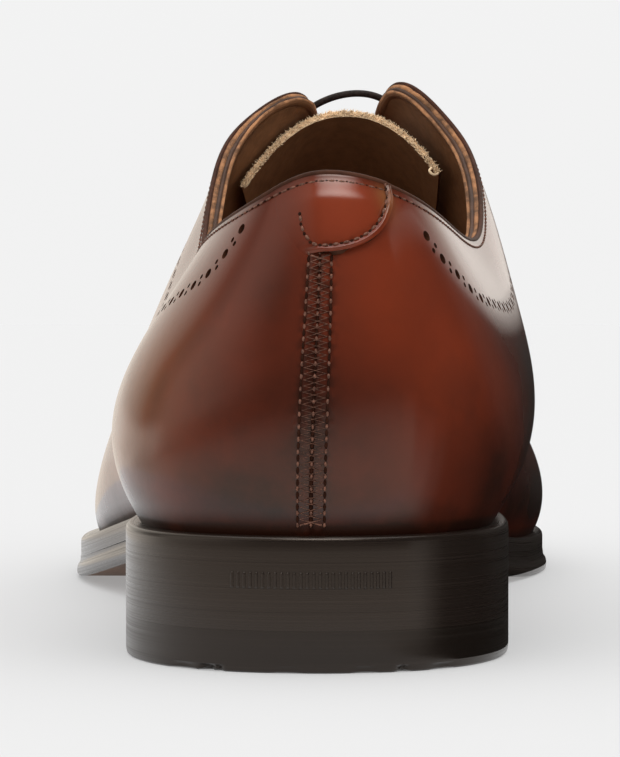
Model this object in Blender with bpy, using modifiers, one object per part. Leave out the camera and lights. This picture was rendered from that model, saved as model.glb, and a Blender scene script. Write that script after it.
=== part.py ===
"""Left oxford shoe, standing empty on its sole.

Every piece is worked out in the last's own coordinates, in millimetres: x from the heel's centre line
(lateral is negative, medial is positive), s along the foot from the back of the heel, and z from the floor.
The world frame is in metres, with the toe along +Y and the origin under the middle of the shoe's box.
"""

import math
from collections import namedtuple

import bmesh
import bpy
import numpy as np

MM = 0.001
GAP = 0.3

# Driving dimensions
SHOE_LENGTH = 302.0
HEEL_CENTRE_X = 5.4
HEEL_BREAST_S = 73.0
BREAST_HOLLOW = 3.0
SEAT_END_S = HEEL_BREAST_S + 2.0
TREAD_START_S = 190.0
TREAD_END_S = 218.0
TOE_SPRING = 11.0
TOP_PIECE_THICKNESS = 6.8
LIFT_THICKNESSES = (3.6, 2.8)
OUTSOLE_THICKNESS = 4.2
WELT_THICKNESS = 4.2
WALL = 2.2
INSOLE_ABOVE_WELT = 1.0
WELT_UNDER_WALL = 1.0
SOLE_LIP = 0.9
EDGE_ROUND = 0.5
TAB_THICKNESS = 1.0
TONGUE_THICKNESS = 2.0
LACE_RADIUS = 0.7
LACE_BARS = 5

# The sole's outer edge: distance from the heel's back, then the lateral and the medial edge
OutlineRow = namedtuple("OutlineRow", "name s lateral medial")
OUTLINE = (
    OutlineRow("heel back", 0.0, 0.0, 0.0),
    OutlineRow("heel round", 7.0, -21.5, 21.5),
    OutlineRow("heel turn", 20.0, -30.8, 30.8),
    OutlineRow("heel wide", 42.0, -34.0, 34.0),
    OutlineRow("heel breast", 73.0, -33.3, 31.8),
    OutlineRow("waist", 105.0, -35.5, 25.8),
    OutlineRow("fore waist", 138.0, -46.5, 29.5),
    OutlineRow("ball start", 170.0, -56.2, 40.0),
    OutlineRow("ball", 200.0, -58.4, 47.4),
    OutlineRow("toe root", 232.0, -52.8, 45.8),
    OutlineRow("toe wide", 262.0, -42.5, 38.4),
    OutlineRow("toe turn", 283.0, -30.8, 28.8),
    OutlineRow("toe round", 296.0, -17.6, 16.6),
    OutlineRow("toe tip", SHOE_LENGTH, -0.5, -0.5),
)

# Columns of the upper, from the sole to its top edge. The foot of each stands inside the sole's edge by its
# margin. It leaves the sole along the belly handle, which points outwards and up, and reaches the top edge
# from the handle that is given from there.
Station = namedtuple(
    "Station",
    "name foot_s margin belly_out belly_up top_x top_s top_z hand_x hand_s hand_z",
)
LATERAL = (
    Station("back seam", 0.0, 2.2, 5.0, 20.0, 1.7, 6.5, 83.4, 0.0, -7.0, -22.0),
    Station("heel corner", 7.0, 2.4, 6.5, 20.0, -10.5, 13.0, 78.6, -6.0, -5.0, -18.0),
    Station("heel side", 30.0, 2.6, 12.0, 19.0, -19.5, 37.0, 73.2, -8.0, -1.0, -14.0),
    Station("ankle", 62.0, 2.6, 18.0, 18.0, -22.2, 63.0, 71.5, -5.0, 0.0, -11.0),
    Station("collar rise", 92.0, 2.6, 19.5, 18.0, -21.4, 89.0, 87.0, -2.5, 0.0, -15.0),
    Station("facing back", 110.0, 2.8, 18.5, 17.0, -15.4, 104.0, 98.2, -3.5, 0.0, -14.0),
    Station("facing top", 126.0, 3.2, 16.0, 17.5, -4.8, 114.0, 102.6, -9.5, 1.0, -11.0),
    Station("facing upper", 146.0, 4.2, 14.0, 19.0, -4.6, 140.0, 87.0, -17.0, 2.0, -7.0),
    Station("facing lower", 169.0, 5.2, 10.0, 18.0, -4.8, 168.0, 73.0, -21.0, 3.0, -5.5),
    Station("throat", 197.0, 5.6, 7.6, 16.5, -4.9, 193.0, 62.6, -22.5, 5.0, -4.5),
    Station("vamp side", 233.0, 5.6, 6.5, 17.0, -4.4, 199.0, 60.2, -17.5, 20.0, -5.5),
    Station("toe side", 271.0, 5.2, 5.5, 18.0, -3.4, 200.7, 59.6, -9.5, 44.0, -11.0),
    Station("toe tip", SHOE_LENGTH, 5.0, 5.0, 20.0, -2.4, 201.2, 59.4, 1.0, 60.0, -15.5),
)
MEDIAL = (
    LATERAL[0],
    Station("heel corner", 7.0, 2.4, 6.5, 20.0, 16.5, 12.0, 79.8, 6.0, -5.0, -18.0),
    Station("heel side", 30.0, 2.6, 12.0, 19.0, 24.8, 37.0, 74.2, 7.0, -1.0, -14.0),
    Station("ankle", 62.0, 2.6, 18.0, 19.0, 27.6, 63.0, 73.2, 6.0, 0.0, -12.0),
    Station("collar rise", 92.0, 2.6, 22.5, 19.5, 28.8, 89.0, 87.6, 5.0, 0.0, -15.0),
    Station("facing back", 110.0, 2.8, 24.5, 20.0, 23.0, 104.0, 98.8, 8.0, 0.0, -13.0),
    Station("facing top", 126.0, 2.8, 23.0, 20.0, 12.8, 114.0, 104.8, 12.5, 1.0, -10.0),
    Station("facing upper", 146.0, 2.8, 20.0, 20.0, 7.4, 140.0, 88.2, 17.5, 2.0, -6.5),
    Station("facing lower", 169.0, 2.8, 15.5, 20.0, 3.2, 168.0, 73.6, 21.5, 3.0, -5.5),
    Station("throat", 197.0, 2.8, 11.0, 20.5, 0.1, 193.0, 62.6, 23.0, 5.0, -4.0),
    Station("vamp side", 233.0, 3.6, 8.5, 19.0, -0.5, 199.0, 60.2, 17.5, 20.0, -5.5),
    Station("toe side", 271.0, 4.6, 6.0, 18.0, -1.5, 200.7, 59.6, 9.5, 44.0, -11.0),
    LATERAL[-1],
)
SIDE_STATIONS = len(LATERAL) - 1
ROUND = 2 * SIDE_STATIONS
STATION_INDEX = {row.name: index for index, row in enumerate(LATERAL)}

# Columns from each station to the next, closer where the heel and the toe turn
COLUMNS_IN_SPAN = (5, 5, 4, 4, 3, 3, 3, 3, 4, 4, 6, 8)
UPPER_ROWS = 14

Finish = namedtuple("Finish", "colour roughness metallic")
BROWN_CALF = Finish((0.20, 0.06, 0.025), 0.35, 0.0)
BURNISHED_EDGE = Finish((0.022, 0.013, 0.011), 0.4, 0.0)
HEEL_RUBBER = Finish((0.018, 0.012, 0.011), 0.5, 0.0)
TAN_LINING = Finish((0.30, 0.16, 0.07), 0.6, 0.0)
WAXED_LACE = Finish((0.03, 0.016, 0.011), 0.5, 0.0)


class Spline:
    """A smooth cubic curve through rows of values: closed when a period is given, else with free ends."""

    def __init__(self, knots, rows, period=None):
        knots = np.asarray(knots, float)
        rows = np.asarray(rows, float)
        if period is not None:
            knots = np.append(knots, knots[0] + period)
            rows = np.vstack([rows, rows[:1]])
        self.knots, self.rows, self.period = knots, rows, period
        self.slopes = self.solve_slopes()

    def solve_slopes(self):
        """Slopes at the knots that keep the curvature unbroken from each span to the next."""
        steps = np.diff(self.knots)
        rises = np.diff(self.rows, axis=0) / steps[:, None]
        count = len(self.knots)
        matrix = np.zeros((count, count))
        sums = np.zeros_like(self.rows)
        for i in range(1, count - 1):
            matrix[i, i - 1] = 1 / steps[i - 1]
            matrix[i, i + 1] = 1 / steps[i]
            matrix[i, i] = 2 * (matrix[i, i - 1] + matrix[i, i + 1])
            sums[i] = 3 * (rises[i - 1] / steps[i - 1] + rises[i] / steps[i])
        if self.period is None:
            matrix[0, :2] = 2, 1
            sums[0] = 3 * rises[0]
            matrix[-1, -2:] = 1, 2
            sums[-1] = 3 * rises[-1]
        else:
            matrix[0, 1] = 1 / steps[0]
            matrix[0, -2] = 1 / steps[-1]
            matrix[0, 0] = 2 * (matrix[0, 1] + matrix[0, -2])
            sums[0] = 3 * (rises[-1] / steps[-1] + rises[0] / steps[0])
            matrix[-1, 0] = 1
            matrix[-1, -1] = -1
        return np.linalg.solve(matrix, sums)

    def __call__(self, at):
        if self.period is not None:
            at = self.knots[0] + (at - self.knots[0]) % self.period
        last_span = len(self.knots) - 2
        span = min(max(int(np.searchsorted(self.knots, at, side="right")) - 1, 0), last_span)
        step = self.knots[span + 1] - self.knots[span]
        t = (at - self.knots[span]) / step
        return (
            (1 + 2 * t) * (1 - t) ** 2 * self.rows[span]
            + t * (1 - t) ** 2 * step * self.slopes[span]
            + t * t * (3 - 2 * t) * self.rows[span + 1]
            - t * t * (1 - t) * step * self.slopes[span + 1]
        )


def spread(points, count):
    """This many points, evenly along the smooth curve through the points given."""
    points = np.array(points)
    along = np.concatenate([[0.0], np.cumsum(np.linalg.norm(np.diff(points, axis=0), axis=1))])
    curve = Spline(along, points)
    return [curve(at) for at in np.linspace(0.0, along[-1], count)]


def smooth_step(value, start, end):
    """Rises from 0 at start to 1 at end, level at both."""
    t = min(max((value - start) / (end - start), 0.0), 1.0)
    return t * t * (3 - 2 * t)


def outline_spline():
    """The sole's edge as a closed curve: 0 at the heel's back, 1 at the toe's tip, 2 at the heel again."""
    lateral = [(row.lateral, row.s) for row in OUTLINE]
    medial = [(row.medial, row.s) for row in OUTLINE]
    chords = [
        (math.dist(lateral[i], lateral[i + 1]) + math.dist(medial[i], medial[i + 1])) / 2
        for i in range(len(OUTLINE) - 1)
    ]
    along = np.concatenate([[0.0], np.cumsum(chords)]) / sum(chords)
    knots = np.concatenate([along, 2 - along[-2:0:-1]])
    return Spline(knots, lateral + medial[-2:0:-1], period=2.0)


def station_splines():
    """Where on the outline each column stands, and the columns' other sizes, as curves round the shoe."""
    scan = np.linspace(0.0, 1.0, 2001)
    scanned_s = np.array([SOLE_EDGE(u)[1] for u in scan])
    feet = np.interp([row.foot_s for row in LATERAL], scanned_s, scan)
    feet[-1] = 1.0
    around = np.concatenate([feet, 2 - feet[-2:0:-1]])
    knots = np.arange(ROUND)
    drift = around - knots / SIDE_STATIONS
    sizes = [row[2:] for row in LATERAL] + [row[2:] for row in MEDIAL[-2:0:-1]]
    return Spline(knots, drift[:, None], period=ROUND), Spline(knots, sizes, period=ROUND)


SOLE_EDGE = outline_spline()
FOOT_DRIFT, COLUMN_SIZES = station_splines()


def seat_rise():
    """Height of the outsole's underside over the heel."""
    return TOP_PIECE_THICKNESS + sum(LIFT_THICKNESSES) + (1 + len(LIFT_THICKNESSES)) * GAP


def sole_rise(s):
    """Height of the outsole's underside: level at the heel, arched, flat at the tread, sprung at the toe."""
    if s < TREAD_START_S:
        return seat_rise() * (1 - smooth_step(s, SEAT_END_S, TREAD_START_S))
    past_tread = max(s - TREAD_END_S, 0.0) / (SHOE_LENGTH - TREAD_END_S)
    return TOE_SPRING * past_tread**2


def welt_top(s):
    return sole_rise(s) + OUTSOLE_THICKNESS + GAP + WELT_THICKNESS


def edge_point(k, inset):
    """The point (x, s) that is inside the sole's edge by the inset, at place k round the shoe."""
    u = float(FOOT_DRIFT(k)[0]) + k / SIDE_STATIONS
    x, s = SOLE_EDGE(u)
    step = 1e-4
    along_x, along_s = SOLE_EDGE(u + step) - SOLE_EDGE(u - step)
    size = math.hypot(along_x, along_s)
    return np.array([x + inset * along_s / size, s - inset * along_x / size])


def column_sizes(k):
    return Station("between", 0.0, *COLUMN_SIZES(k))


def column_handles(k):
    """The four handles of the upper's column at place k."""
    sizes = column_sizes(k)
    foot_x, foot_s = edge_point(k, sizes.margin)
    belly_x, belly_s = edge_point(k, sizes.margin - sizes.belly_out)
    foot_z = welt_top(foot_s) + GAP
    foot = np.array([foot_x, foot_s, foot_z])
    belly = np.array([belly_x, belly_s, foot_z + sizes.belly_up])
    top = np.array([sizes.top_x, sizes.top_s, sizes.top_z])
    hand = top + np.array([sizes.hand_x, sizes.hand_s, sizes.hand_z])
    return foot, belly, hand, top


def skin_point(k, v):
    """The upper's outer face: place k round the shoe, v from the welt (0) to the top edge (1)."""
    foot, belly, hand, top = column_handles(k)
    w = 1 - v
    return w**3 * foot + 3 * w * w * v * belly + 3 * w * v * v * hand + v**3 * top


def skin(k, v, depth=0.0):
    """A point that lies this deep under the upper's outer face."""
    if depth == 0.0:
        return skin_point(k, v)
    step_k, step_v = 0.01, 0.004
    low, high = max(v - step_v, 0.0), min(v + step_v, 1.0)
    around = skin_point(k + step_k, v) - skin_point(k - step_k, v)
    upward = skin_point(k, high) - skin_point(k, low)
    inwards = np.cross(around, upward)
    inwards /= np.linalg.norm(inwards)
    return skin_point(k, v) - depth * inwards * SKIN_TURN


def outward_turn():
    """1 where around x upward points out of the shoe, else -1."""
    k, v, step = STATION_INDEX["ankle"], 0.5, 0.01
    around = skin_point(k + step, v) - skin_point(k - step, v)
    upward = skin_point(k, v + step) - skin_point(k, v - step)
    return 1.0 if np.cross(around, upward)[0] < 0 else -1.0


SKIN_TURN = outward_turn()


def to_world(point):
    x, s, z = point
    return ((x + HEEL_CENTRE_X) * MM, (s - SHOE_LENGTH / 2) * MM, z * MM)


def around_places():
    """Places of the columns: the lateral side from heel to toe, then the medial side back to the heel."""
    lateral = [
        station + step / columns
        for station, columns in enumerate(COLUMNS_IN_SPAN)
        for step in range(columns)
    ]
    medial = [ROUND - place for place in lateral[:0:-1]]
    return lateral + [SIDE_STATIONS] + medial


def clear_scene():
    for old in list(bpy.data.objects):
        bpy.data.objects.remove(old, do_unlink=True)


def make_collection(name):
    collection = bpy.data.collections.new(name)
    bpy.context.scene.collection.children.link(collection)
    return collection


def make_material(name, finish):
    material = bpy.data.materials.new(name)
    material.use_nodes = True
    shader = material.node_tree.nodes["Principled BSDF"]
    shader.inputs["Base Color"].default_value = (*finish.colour, 1.0)
    shader.inputs["Roughness"].default_value = finish.roughness
    shader.inputs["Metallic"].default_value = finish.metallic
    material.diffuse_color = (*finish.colour, 1.0)
    return material


def add_object(collection, name, data, finish):
    piece = bpy.data.objects.new(name, data)
    collection.objects.link(piece)
    data.materials.append(make_material(name, finish))
    return piece


def mesh_from_rows(rows, closed_rows):
    """A grid of faces between rows of points. Closed rows join their last point to their first."""
    grid = bmesh.new()
    made = [[grid.verts.new(to_world(point)) for point in row] for row in rows]
    count = len(made[0])
    spans = count if closed_rows else count - 1
    for lower, upper in zip(made, made[1:]):
        for i in range(spans):
            j = (i + 1) % count
            grid.faces.new((lower[i], lower[j], upper[j], upper[i]))
    return grid, made


def finish_mesh(name, grid, smooth_angle=math.radians(40)):
    bmesh.ops.recalc_face_normals(grid, faces=grid.faces)
    mesh = bpy.data.meshes.new(name)
    grid.to_mesh(mesh)
    grid.free()
    mesh.shade_smooth()
    mesh.set_sharp_from_angle(angle=smooth_angle)
    return mesh


def cap_across(grid, loop):
    """Closes a loop that runs heel, lateral side, toe, medial side, with strips from side to side."""
    count = len(loop)
    half = count // 2
    grid.faces.new((loop[0], loop[1], loop[-1]))
    for i in range(1, half - 1):
        grid.faces.new((loop[i], loop[i + 1], loop[count - i - 1], loop[count - i]))
    grid.faces.new((loop[half - 1], loop[half], loop[half + 1]))


def build_outsole(collection):
    levels = (
        (EDGE_ROUND, 0.0),
        (0.0, EDGE_ROUND),
        (0.0, OUTSOLE_THICKNESS - EDGE_ROUND),
        (EDGE_ROUND, OUTSOLE_THICKNESS),
    )
    rows = []
    for inset, height in levels:
        edge = [edge_point(k, inset) for k in around_places()]
        rows.append([(x, s, sole_rise(s) + height) for x, s in edge])
    grid, loops = mesh_from_rows(rows, closed_rows=True)
    cap_across(grid, loops[0])
    cap_across(grid, loops[-1])
    return add_object(collection, "outsole", finish_mesh("outsole", grid), BURNISHED_EDGE)


def welt_lip(s):
    """How far the welt stands inside the outsole's edge: flush at the heel, set back at the forefoot."""
    return SOLE_LIP * smooth_step(s, HEEL_BREAST_S, TREAD_START_S)


def inner_margin(k):
    """Inset of the welt's inner edge, just inside the upper's wall."""
    return column_sizes(k).margin + WALL + WELT_UNDER_WALL


def build_welt(collection):
    sections = []
    for k in around_places():
        lip = welt_lip(edge_point(k, 0.0)[1])
        corners = (
            (lip, 0.0),
            (lip, WELT_THICKNESS - EDGE_ROUND),
            (lip + EDGE_ROUND, WELT_THICKNESS),
            (inner_margin(k), WELT_THICKNESS),
            (inner_margin(k), 0.0),
        )
        section = []
        for inset, height in corners:
            x, s = edge_point(k, inset)
            section.append((x, s, welt_top(s) - WELT_THICKNESS + height))
        sections.append(section)
    grid, _ = mesh_from_rows(sections + sections[:1], closed_rows=True)
    bmesh.ops.remove_doubles(grid, verts=grid.verts, dist=1e-6)
    return add_object(collection, "welt", finish_mesh("welt", grid), BURNISHED_EDGE)


HEEL_BACK_POINTS = 37
HEEL_BREAST_SPANS = 8


def heel_edge(inset):
    """Outline of a heel piece: round the back from breast to breast, then along the hollowed breast."""
    scan = np.linspace(0.0, SIDE_STATIONS / 2, 400)
    breast_k = next(k for k in scan if edge_point(k, 0.0)[1] >= HEEL_BREAST_S)
    back = [edge_point(k, inset) for k in np.linspace(-breast_k, breast_k, HEEL_BACK_POINTS)]
    lateral, medial = back[-1], back[0]
    breast = []
    for t in np.linspace(0.0, 1.0, HEEL_BREAST_SPANS + 1)[1:-1]:
        x, s = lateral + t * (medial - lateral)
        breast.append((x, s - inset - BREAST_HOLLOW * 4 * t * (1 - t)))
    return [tuple(point) for point in back] + breast


def build_heel_piece(collection, name, bottom, thickness, finish):
    levels = (
        (EDGE_ROUND, bottom),
        (0.0, bottom + EDGE_ROUND),
        (0.0, bottom + thickness - EDGE_ROUND / 2),
        (EDGE_ROUND / 2, bottom + thickness),
    )
    rows = [[(x, s, z) for x, s in heel_edge(inset)] for inset, z in levels]
    grid, loops = mesh_from_rows(rows, closed_rows=True)
    grid.faces.new(loops[0])
    grid.faces.new(loops[-1])
    return add_object(collection, name, finish_mesh(name, grid), finish)


def build_heel(collection):
    build_heel_piece(collection, "heel_top_piece", 0.0, TOP_PIECE_THICKNESS, HEEL_RUBBER)
    bottom = seat_rise()
    for number, thickness in enumerate(LIFT_THICKNESSES, start=1):
        bottom -= thickness + GAP
        build_heel_piece(collection, f"heel_lift_{number}", bottom, thickness, BURNISHED_EDGE)


def build_insole(collection):
    rows = []
    for on_top in (False, True):
        edge = [edge_point(k, inner_margin(k) + GAP) for k in around_places()]
        if on_top:
            rows.append([(x, s, welt_top(s) + INSOLE_ABOVE_WELT) for x, s in edge])
        else:
            rows.append([(x, s, sole_rise(s) + OUTSOLE_THICKNESS + GAP) for x, s in edge])
    grid, loops = mesh_from_rows(rows, closed_rows=True)
    cap_across(grid, loops[0])
    cap_across(grid, loops[-1])
    return add_object(collection, "insole", finish_mesh("insole", grid), TAN_LINING)


def thicken(piece, thickness):
    """Gives an open sheet its wall, inwards from the face that is modelled."""
    wall = piece.modifiers.new("wall", "SOLIDIFY")
    wall.thickness = thickness * MM
    wall.offset = -1.0
    wall.use_even_offset = False


def face_outwards(mesh, point_inside):
    """Turns an open sheet so that its faces look away from a point inside the shoe."""
    sheet = bmesh.new()
    sheet.from_mesh(mesh)
    bmesh.ops.recalc_face_normals(sheet, faces=sheet.faces)
    inside = np.array(to_world(point_inside))
    facing = sum(
        face.calc_area() * np.dot(np.array(face.calc_center_median()) - inside, np.array(face.normal))
        for face in sheet.faces
    )
    if facing < 0:
        bmesh.ops.reverse_faces(sheet, faces=sheet.faces)
    sheet.to_mesh(mesh)
    sheet.free()


MIDDLE_OF_SHOE = (0.0, 130.0, 40.0)


def build_upper(collection):
    heights = np.linspace(0.0, 1.0, UPPER_ROWS + 1)
    rows = [[skin(k, v) for k in around_places()] for v in heights]
    grid, _ = mesh_from_rows(rows, closed_rows=True)
    mesh = finish_mesh("upper", grid)
    face_outwards(mesh, MIDDLE_OF_SHOE)
    upper = add_object(collection, "upper", mesh, BROWN_CALF)
    thicken(upper, WALL)
    return upper


# The heel tab, down from the collar at the back seam: depth on the upper, then its lateral and medial edge
TabRow = namedtuple("TabRow", "v lateral_k medial_k")
TAB = (
    TabRow(0.985, 0.12, -0.72),
    TabRow(0.94, 0.12, -0.71),
    TabRow(0.89, 0.12, -0.66),
    TabRow(0.85, 0.12, -0.55),
    TabRow(0.82, 0.11, -0.38),
    TabRow(0.80, 0.09, -0.16),
)
TAB_COLUMNS = 9


def build_heel_tab(collection):
    depth = -(GAP + TAB_THICKNESS)
    rows = [
        [skin(k, row.v, depth) for k in np.linspace(row.lateral_k, row.medial_k, TAB_COLUMNS)]
        for row in TAB
    ]
    grid, _ = mesh_from_rows(rows, closed_rows=False)
    mesh = finish_mesh("heel_tab", grid)
    face_outwards(mesh, MIDDLE_OF_SHOE)
    tab = add_object(collection, "heel_tab", mesh, BROWN_CALF)
    thicken(tab, TAB_THICKNESS)
    return tab


# Arcs across the tongue, under the facings: place of the crown, half the width, and how far the ends lie below
# and behind the crown
TongueRow = namedtuple("TongueRow", "s crown_x crown_z half_width drop sweep")
TONGUE = (
    TongueRow(112.0, 3.6, 99.6, 18.9, 12.4, 8.0),
    TongueRow(125.0, 3.1, 92.4, 18.5, 17.0, 0.0),
    TongueRow(139.1, 1.4, 83.1, 19.4, 13.9, 0.0),
    TongueRow(153.2, 0.3, 75.1, 19.0, 10.9, 0.0),
    TongueRow(167.2, -0.4, 68.4, 18.1, 8.6, 0.0),
    TongueRow(181.4, -1.2, 62.5, 17.2, 6.8, 0.0),
    TongueRow(193.2, -1.9, 59.7, 15.3, 5.2, 0.0),
)
TONGUE_CROWNING = 2.2
TONGUE_ROOT_S = 12.0
TONGUE_ROOT_DROP = 4.5
TONGUE_COLUMNS = 15
FACING_POINTS = 5


def tongue_section(row):
    """Points across the tongue: up the inside of one facing, over the crown, and down the other."""
    across = np.linspace(-1.0, 1.0, TONGUE_COLUMNS)
    x = row.crown_x + row.half_width * across
    s = row.s - row.sweep * across**2
    z = row.crown_z - row.drop * np.abs(across) ** TONGUE_CROWNING
    return list(np.stack([x, s, z], axis=1))


def build_tongue(collection):
    rows = [tongue_section(row) for row in TONGUE]
    root = [point + np.array([0.0, TONGUE_ROOT_S, -TONGUE_ROOT_DROP]) for point in rows[-1]]
    rows.append(root)
    grid, _ = mesh_from_rows(rows, closed_rows=False)
    mesh = finish_mesh("tongue", grid)
    face_outwards(mesh, MIDDLE_OF_SHOE)
    tongue = add_object(collection, "tongue", mesh, TAN_LINING)
    thicken(tongue, TONGUE_THICKNESS)
    return tongue


# Each lace bar runs between a pair of eyelets, given by their place along the facings
FIRST_BAR_K = 6.3
LAST_BAR_K = 8.75
EYELET_V = 0.87
LACE_LIFT = GAP + LACE_RADIUS + 0.2
LACE_POINTS = 13


def lace_path(k):
    """Points of one bar, from the lateral eyelet over both facings to the medial one."""
    heights = np.linspace(EYELET_V, 1.0, FACING_POINTS)
    lateral = [skin(k, v, -LACE_LIFT) for v in heights]
    medial = [skin(ROUND - k, v, -LACE_LIFT) for v in heights[::-1]]
    return spread(lateral + medial, LACE_POINTS)


def build_lace_bars(collection):
    for number, k in enumerate(np.linspace(FIRST_BAR_K, LAST_BAR_K, LACE_BARS), start=1):
        name = f"lace_bar_{number}"
        curve = bpy.data.curves.new(name, "CURVE")
        curve.dimensions = "3D"
        curve.bevel_depth = LACE_RADIUS * MM
        curve.bevel_resolution = 2
        curve.use_fill_caps = True
        points = lace_path(k)
        spline = curve.splines.new("POLY")
        spline.points.add(len(points) - 1)
        for target, point in zip(spline.points, points):
            target.co = (*to_world(point), 1.0)
        add_object(collection, name, curve, WAXED_LACE)


def main():
    clear_scene()
    shoe = make_collection("oxford_shoe")
    build_outsole(shoe)
    build_welt(shoe)
    build_heel(shoe)
    build_insole(shoe)
    build_upper(shoe)
    build_heel_tab(shoe)
    build_tongue(shoe)
    build_lace_bars(shoe)


main()
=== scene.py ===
"""Looks of a left oxford shoe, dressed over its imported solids.

The shoe's forms are worked out in the last's own coordinates, in millimetres: x from the heel's centre line
(lateral is negative, medial is positive), s along the foot from the back of the heel, and z from the floor.
A place on the upper is k round the shoe, from the back seam along the lateral side, and v from the welt (0)
to the top edge (1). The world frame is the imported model's, in metres, with the toe along +Y.
"""

import math
from collections import namedtuple

import bmesh
import bpy
import numpy as np
from mathutils import Euler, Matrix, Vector
from mathutils.geometry import delaunay_2d_cdt


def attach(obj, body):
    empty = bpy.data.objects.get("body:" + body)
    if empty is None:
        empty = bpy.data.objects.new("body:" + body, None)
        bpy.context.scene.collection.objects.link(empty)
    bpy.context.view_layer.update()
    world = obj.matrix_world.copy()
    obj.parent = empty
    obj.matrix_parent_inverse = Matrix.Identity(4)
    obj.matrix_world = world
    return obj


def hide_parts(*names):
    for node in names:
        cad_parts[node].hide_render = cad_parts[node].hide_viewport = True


bl_info = {
    "name": "Oxford Shoe",
    "version": (1, 0, 0),
    "blender": (4, 5, 0),
    "location": "3D View > Sidebar > Shoe",
    "description": "Dresses the solids of a left oxford shoe with leather, stitching, sole and lace",
    "category": "Object",
}

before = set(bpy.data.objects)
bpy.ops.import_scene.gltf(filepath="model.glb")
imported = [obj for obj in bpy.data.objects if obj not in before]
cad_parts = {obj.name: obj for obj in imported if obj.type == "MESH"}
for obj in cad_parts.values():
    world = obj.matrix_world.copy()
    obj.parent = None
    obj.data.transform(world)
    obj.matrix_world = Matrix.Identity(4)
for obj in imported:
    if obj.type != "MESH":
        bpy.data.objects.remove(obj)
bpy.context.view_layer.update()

MM = 0.001
BODY = "root"

# The last and the sole, as in the solids
SHOE_LENGTH = 302.0
HEEL_CENTRE_X = 5.4
HEEL_BREAST_S = 73.0
BREAST_HOLLOW = 3.0
SEAT_END_S = HEEL_BREAST_S + 2.0
TREAD_START_S = 190.0
TREAD_END_S = 218.0
TOE_SPRING = 11.0
JOINT_GAP = 0.3
TOP_PIECE_THICKNESS = 6.8
LIFT_THICKNESSES = (3.6, 2.8)
OUTSOLE_THICKNESS = 4.2
WELT_THICKNESS = 4.2
WALL = 2.2
WELT_UNDER_WALL = 1.0
INSOLE_ABOVE_WELT = 1.0
SOLE_LIP = 0.9

# The sole's outer edge: distance from the heel's back, then the lateral and the medial edge
OutlineRow = namedtuple("OutlineRow", "name s lateral medial")
OUTLINE = (
    OutlineRow("heel back", 0.0, 0.0, 0.0),
    OutlineRow("heel round", 7.0, -21.5, 21.5),
    OutlineRow("heel turn", 20.0, -30.8, 30.8),
    OutlineRow("heel wide", 42.0, -34.0, 34.0),
    OutlineRow("heel breast", 73.0, -33.3, 31.8),
    OutlineRow("waist", 105.0, -35.5, 25.8),
    OutlineRow("fore waist", 138.0, -46.5, 29.5),
    OutlineRow("ball start", 170.0, -56.2, 40.0),
    OutlineRow("ball", 200.0, -58.4, 47.4),
    OutlineRow("toe root", 232.0, -52.8, 45.8),
    OutlineRow("toe wide", 262.0, -42.5, 38.4),
    OutlineRow("toe turn", 283.0, -30.8, 28.8),
    OutlineRow("toe round", 296.0, -17.6, 16.6),
    OutlineRow("toe tip", SHOE_LENGTH, -0.5, -0.5),
)

# Columns of the upper, from the sole to its top edge. The foot of each stands inside the sole's edge by its
# margin. It leaves the sole along the belly handle, which points outwards and up, and reaches the top edge
# from the handle that is given from there.
Station = namedtuple(
    "Station",
    "name foot_s margin belly_out belly_up top_x top_s top_z hand_x hand_s hand_z",
)
LATERAL = (
    Station("back seam", 0.0, 2.2, 5.0, 20.0, 1.7, 6.5, 83.4, 0.0, -7.0, -22.0),
    Station("heel corner", 7.0, 2.4, 6.5, 20.0, -10.5, 13.0, 78.6, -6.0, -5.0, -18.0),
    Station("heel side", 30.0, 2.6, 12.0, 19.0, -19.5, 37.0, 73.2, -8.0, -1.0, -14.0),
    Station("ankle", 62.0, 2.6, 18.0, 18.0, -22.2, 63.0, 71.5, -5.0, 0.0, -11.0),
    Station("collar rise", 92.0, 2.6, 19.5, 18.0, -21.4, 89.0, 87.0, -2.5, 0.0, -15.0),
    Station("facing back", 110.0, 2.8, 18.5, 17.0, -15.4, 104.0, 98.2, -3.5, 0.0, -14.0),
    Station("facing top", 126.0, 3.2, 16.0, 17.5, -4.8, 114.0, 102.6, -9.5, 1.0, -11.0),
    Station("facing upper", 146.0, 4.2, 14.0, 19.0, -4.6, 140.0, 87.0, -17.0, 2.0, -7.0),
    Station("facing lower", 169.0, 5.2, 10.0, 18.0, -4.8, 168.0, 73.0, -21.0, 3.0, -5.5),
    Station("throat", 197.0, 5.6, 7.6, 16.5, -4.9, 193.0, 62.6, -22.5, 5.0, -4.5),
    Station("vamp side", 233.0, 5.6, 6.5, 17.0, -4.4, 199.0, 60.2, -17.5, 20.0, -5.5),
    Station("toe side", 271.0, 5.2, 5.5, 18.0, -3.4, 200.7, 59.6, -9.5, 44.0, -11.0),
    Station("toe tip", SHOE_LENGTH, 5.0, 5.0, 20.0, -2.4, 201.2, 59.4, 1.0, 60.0, -15.5),
)
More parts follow.
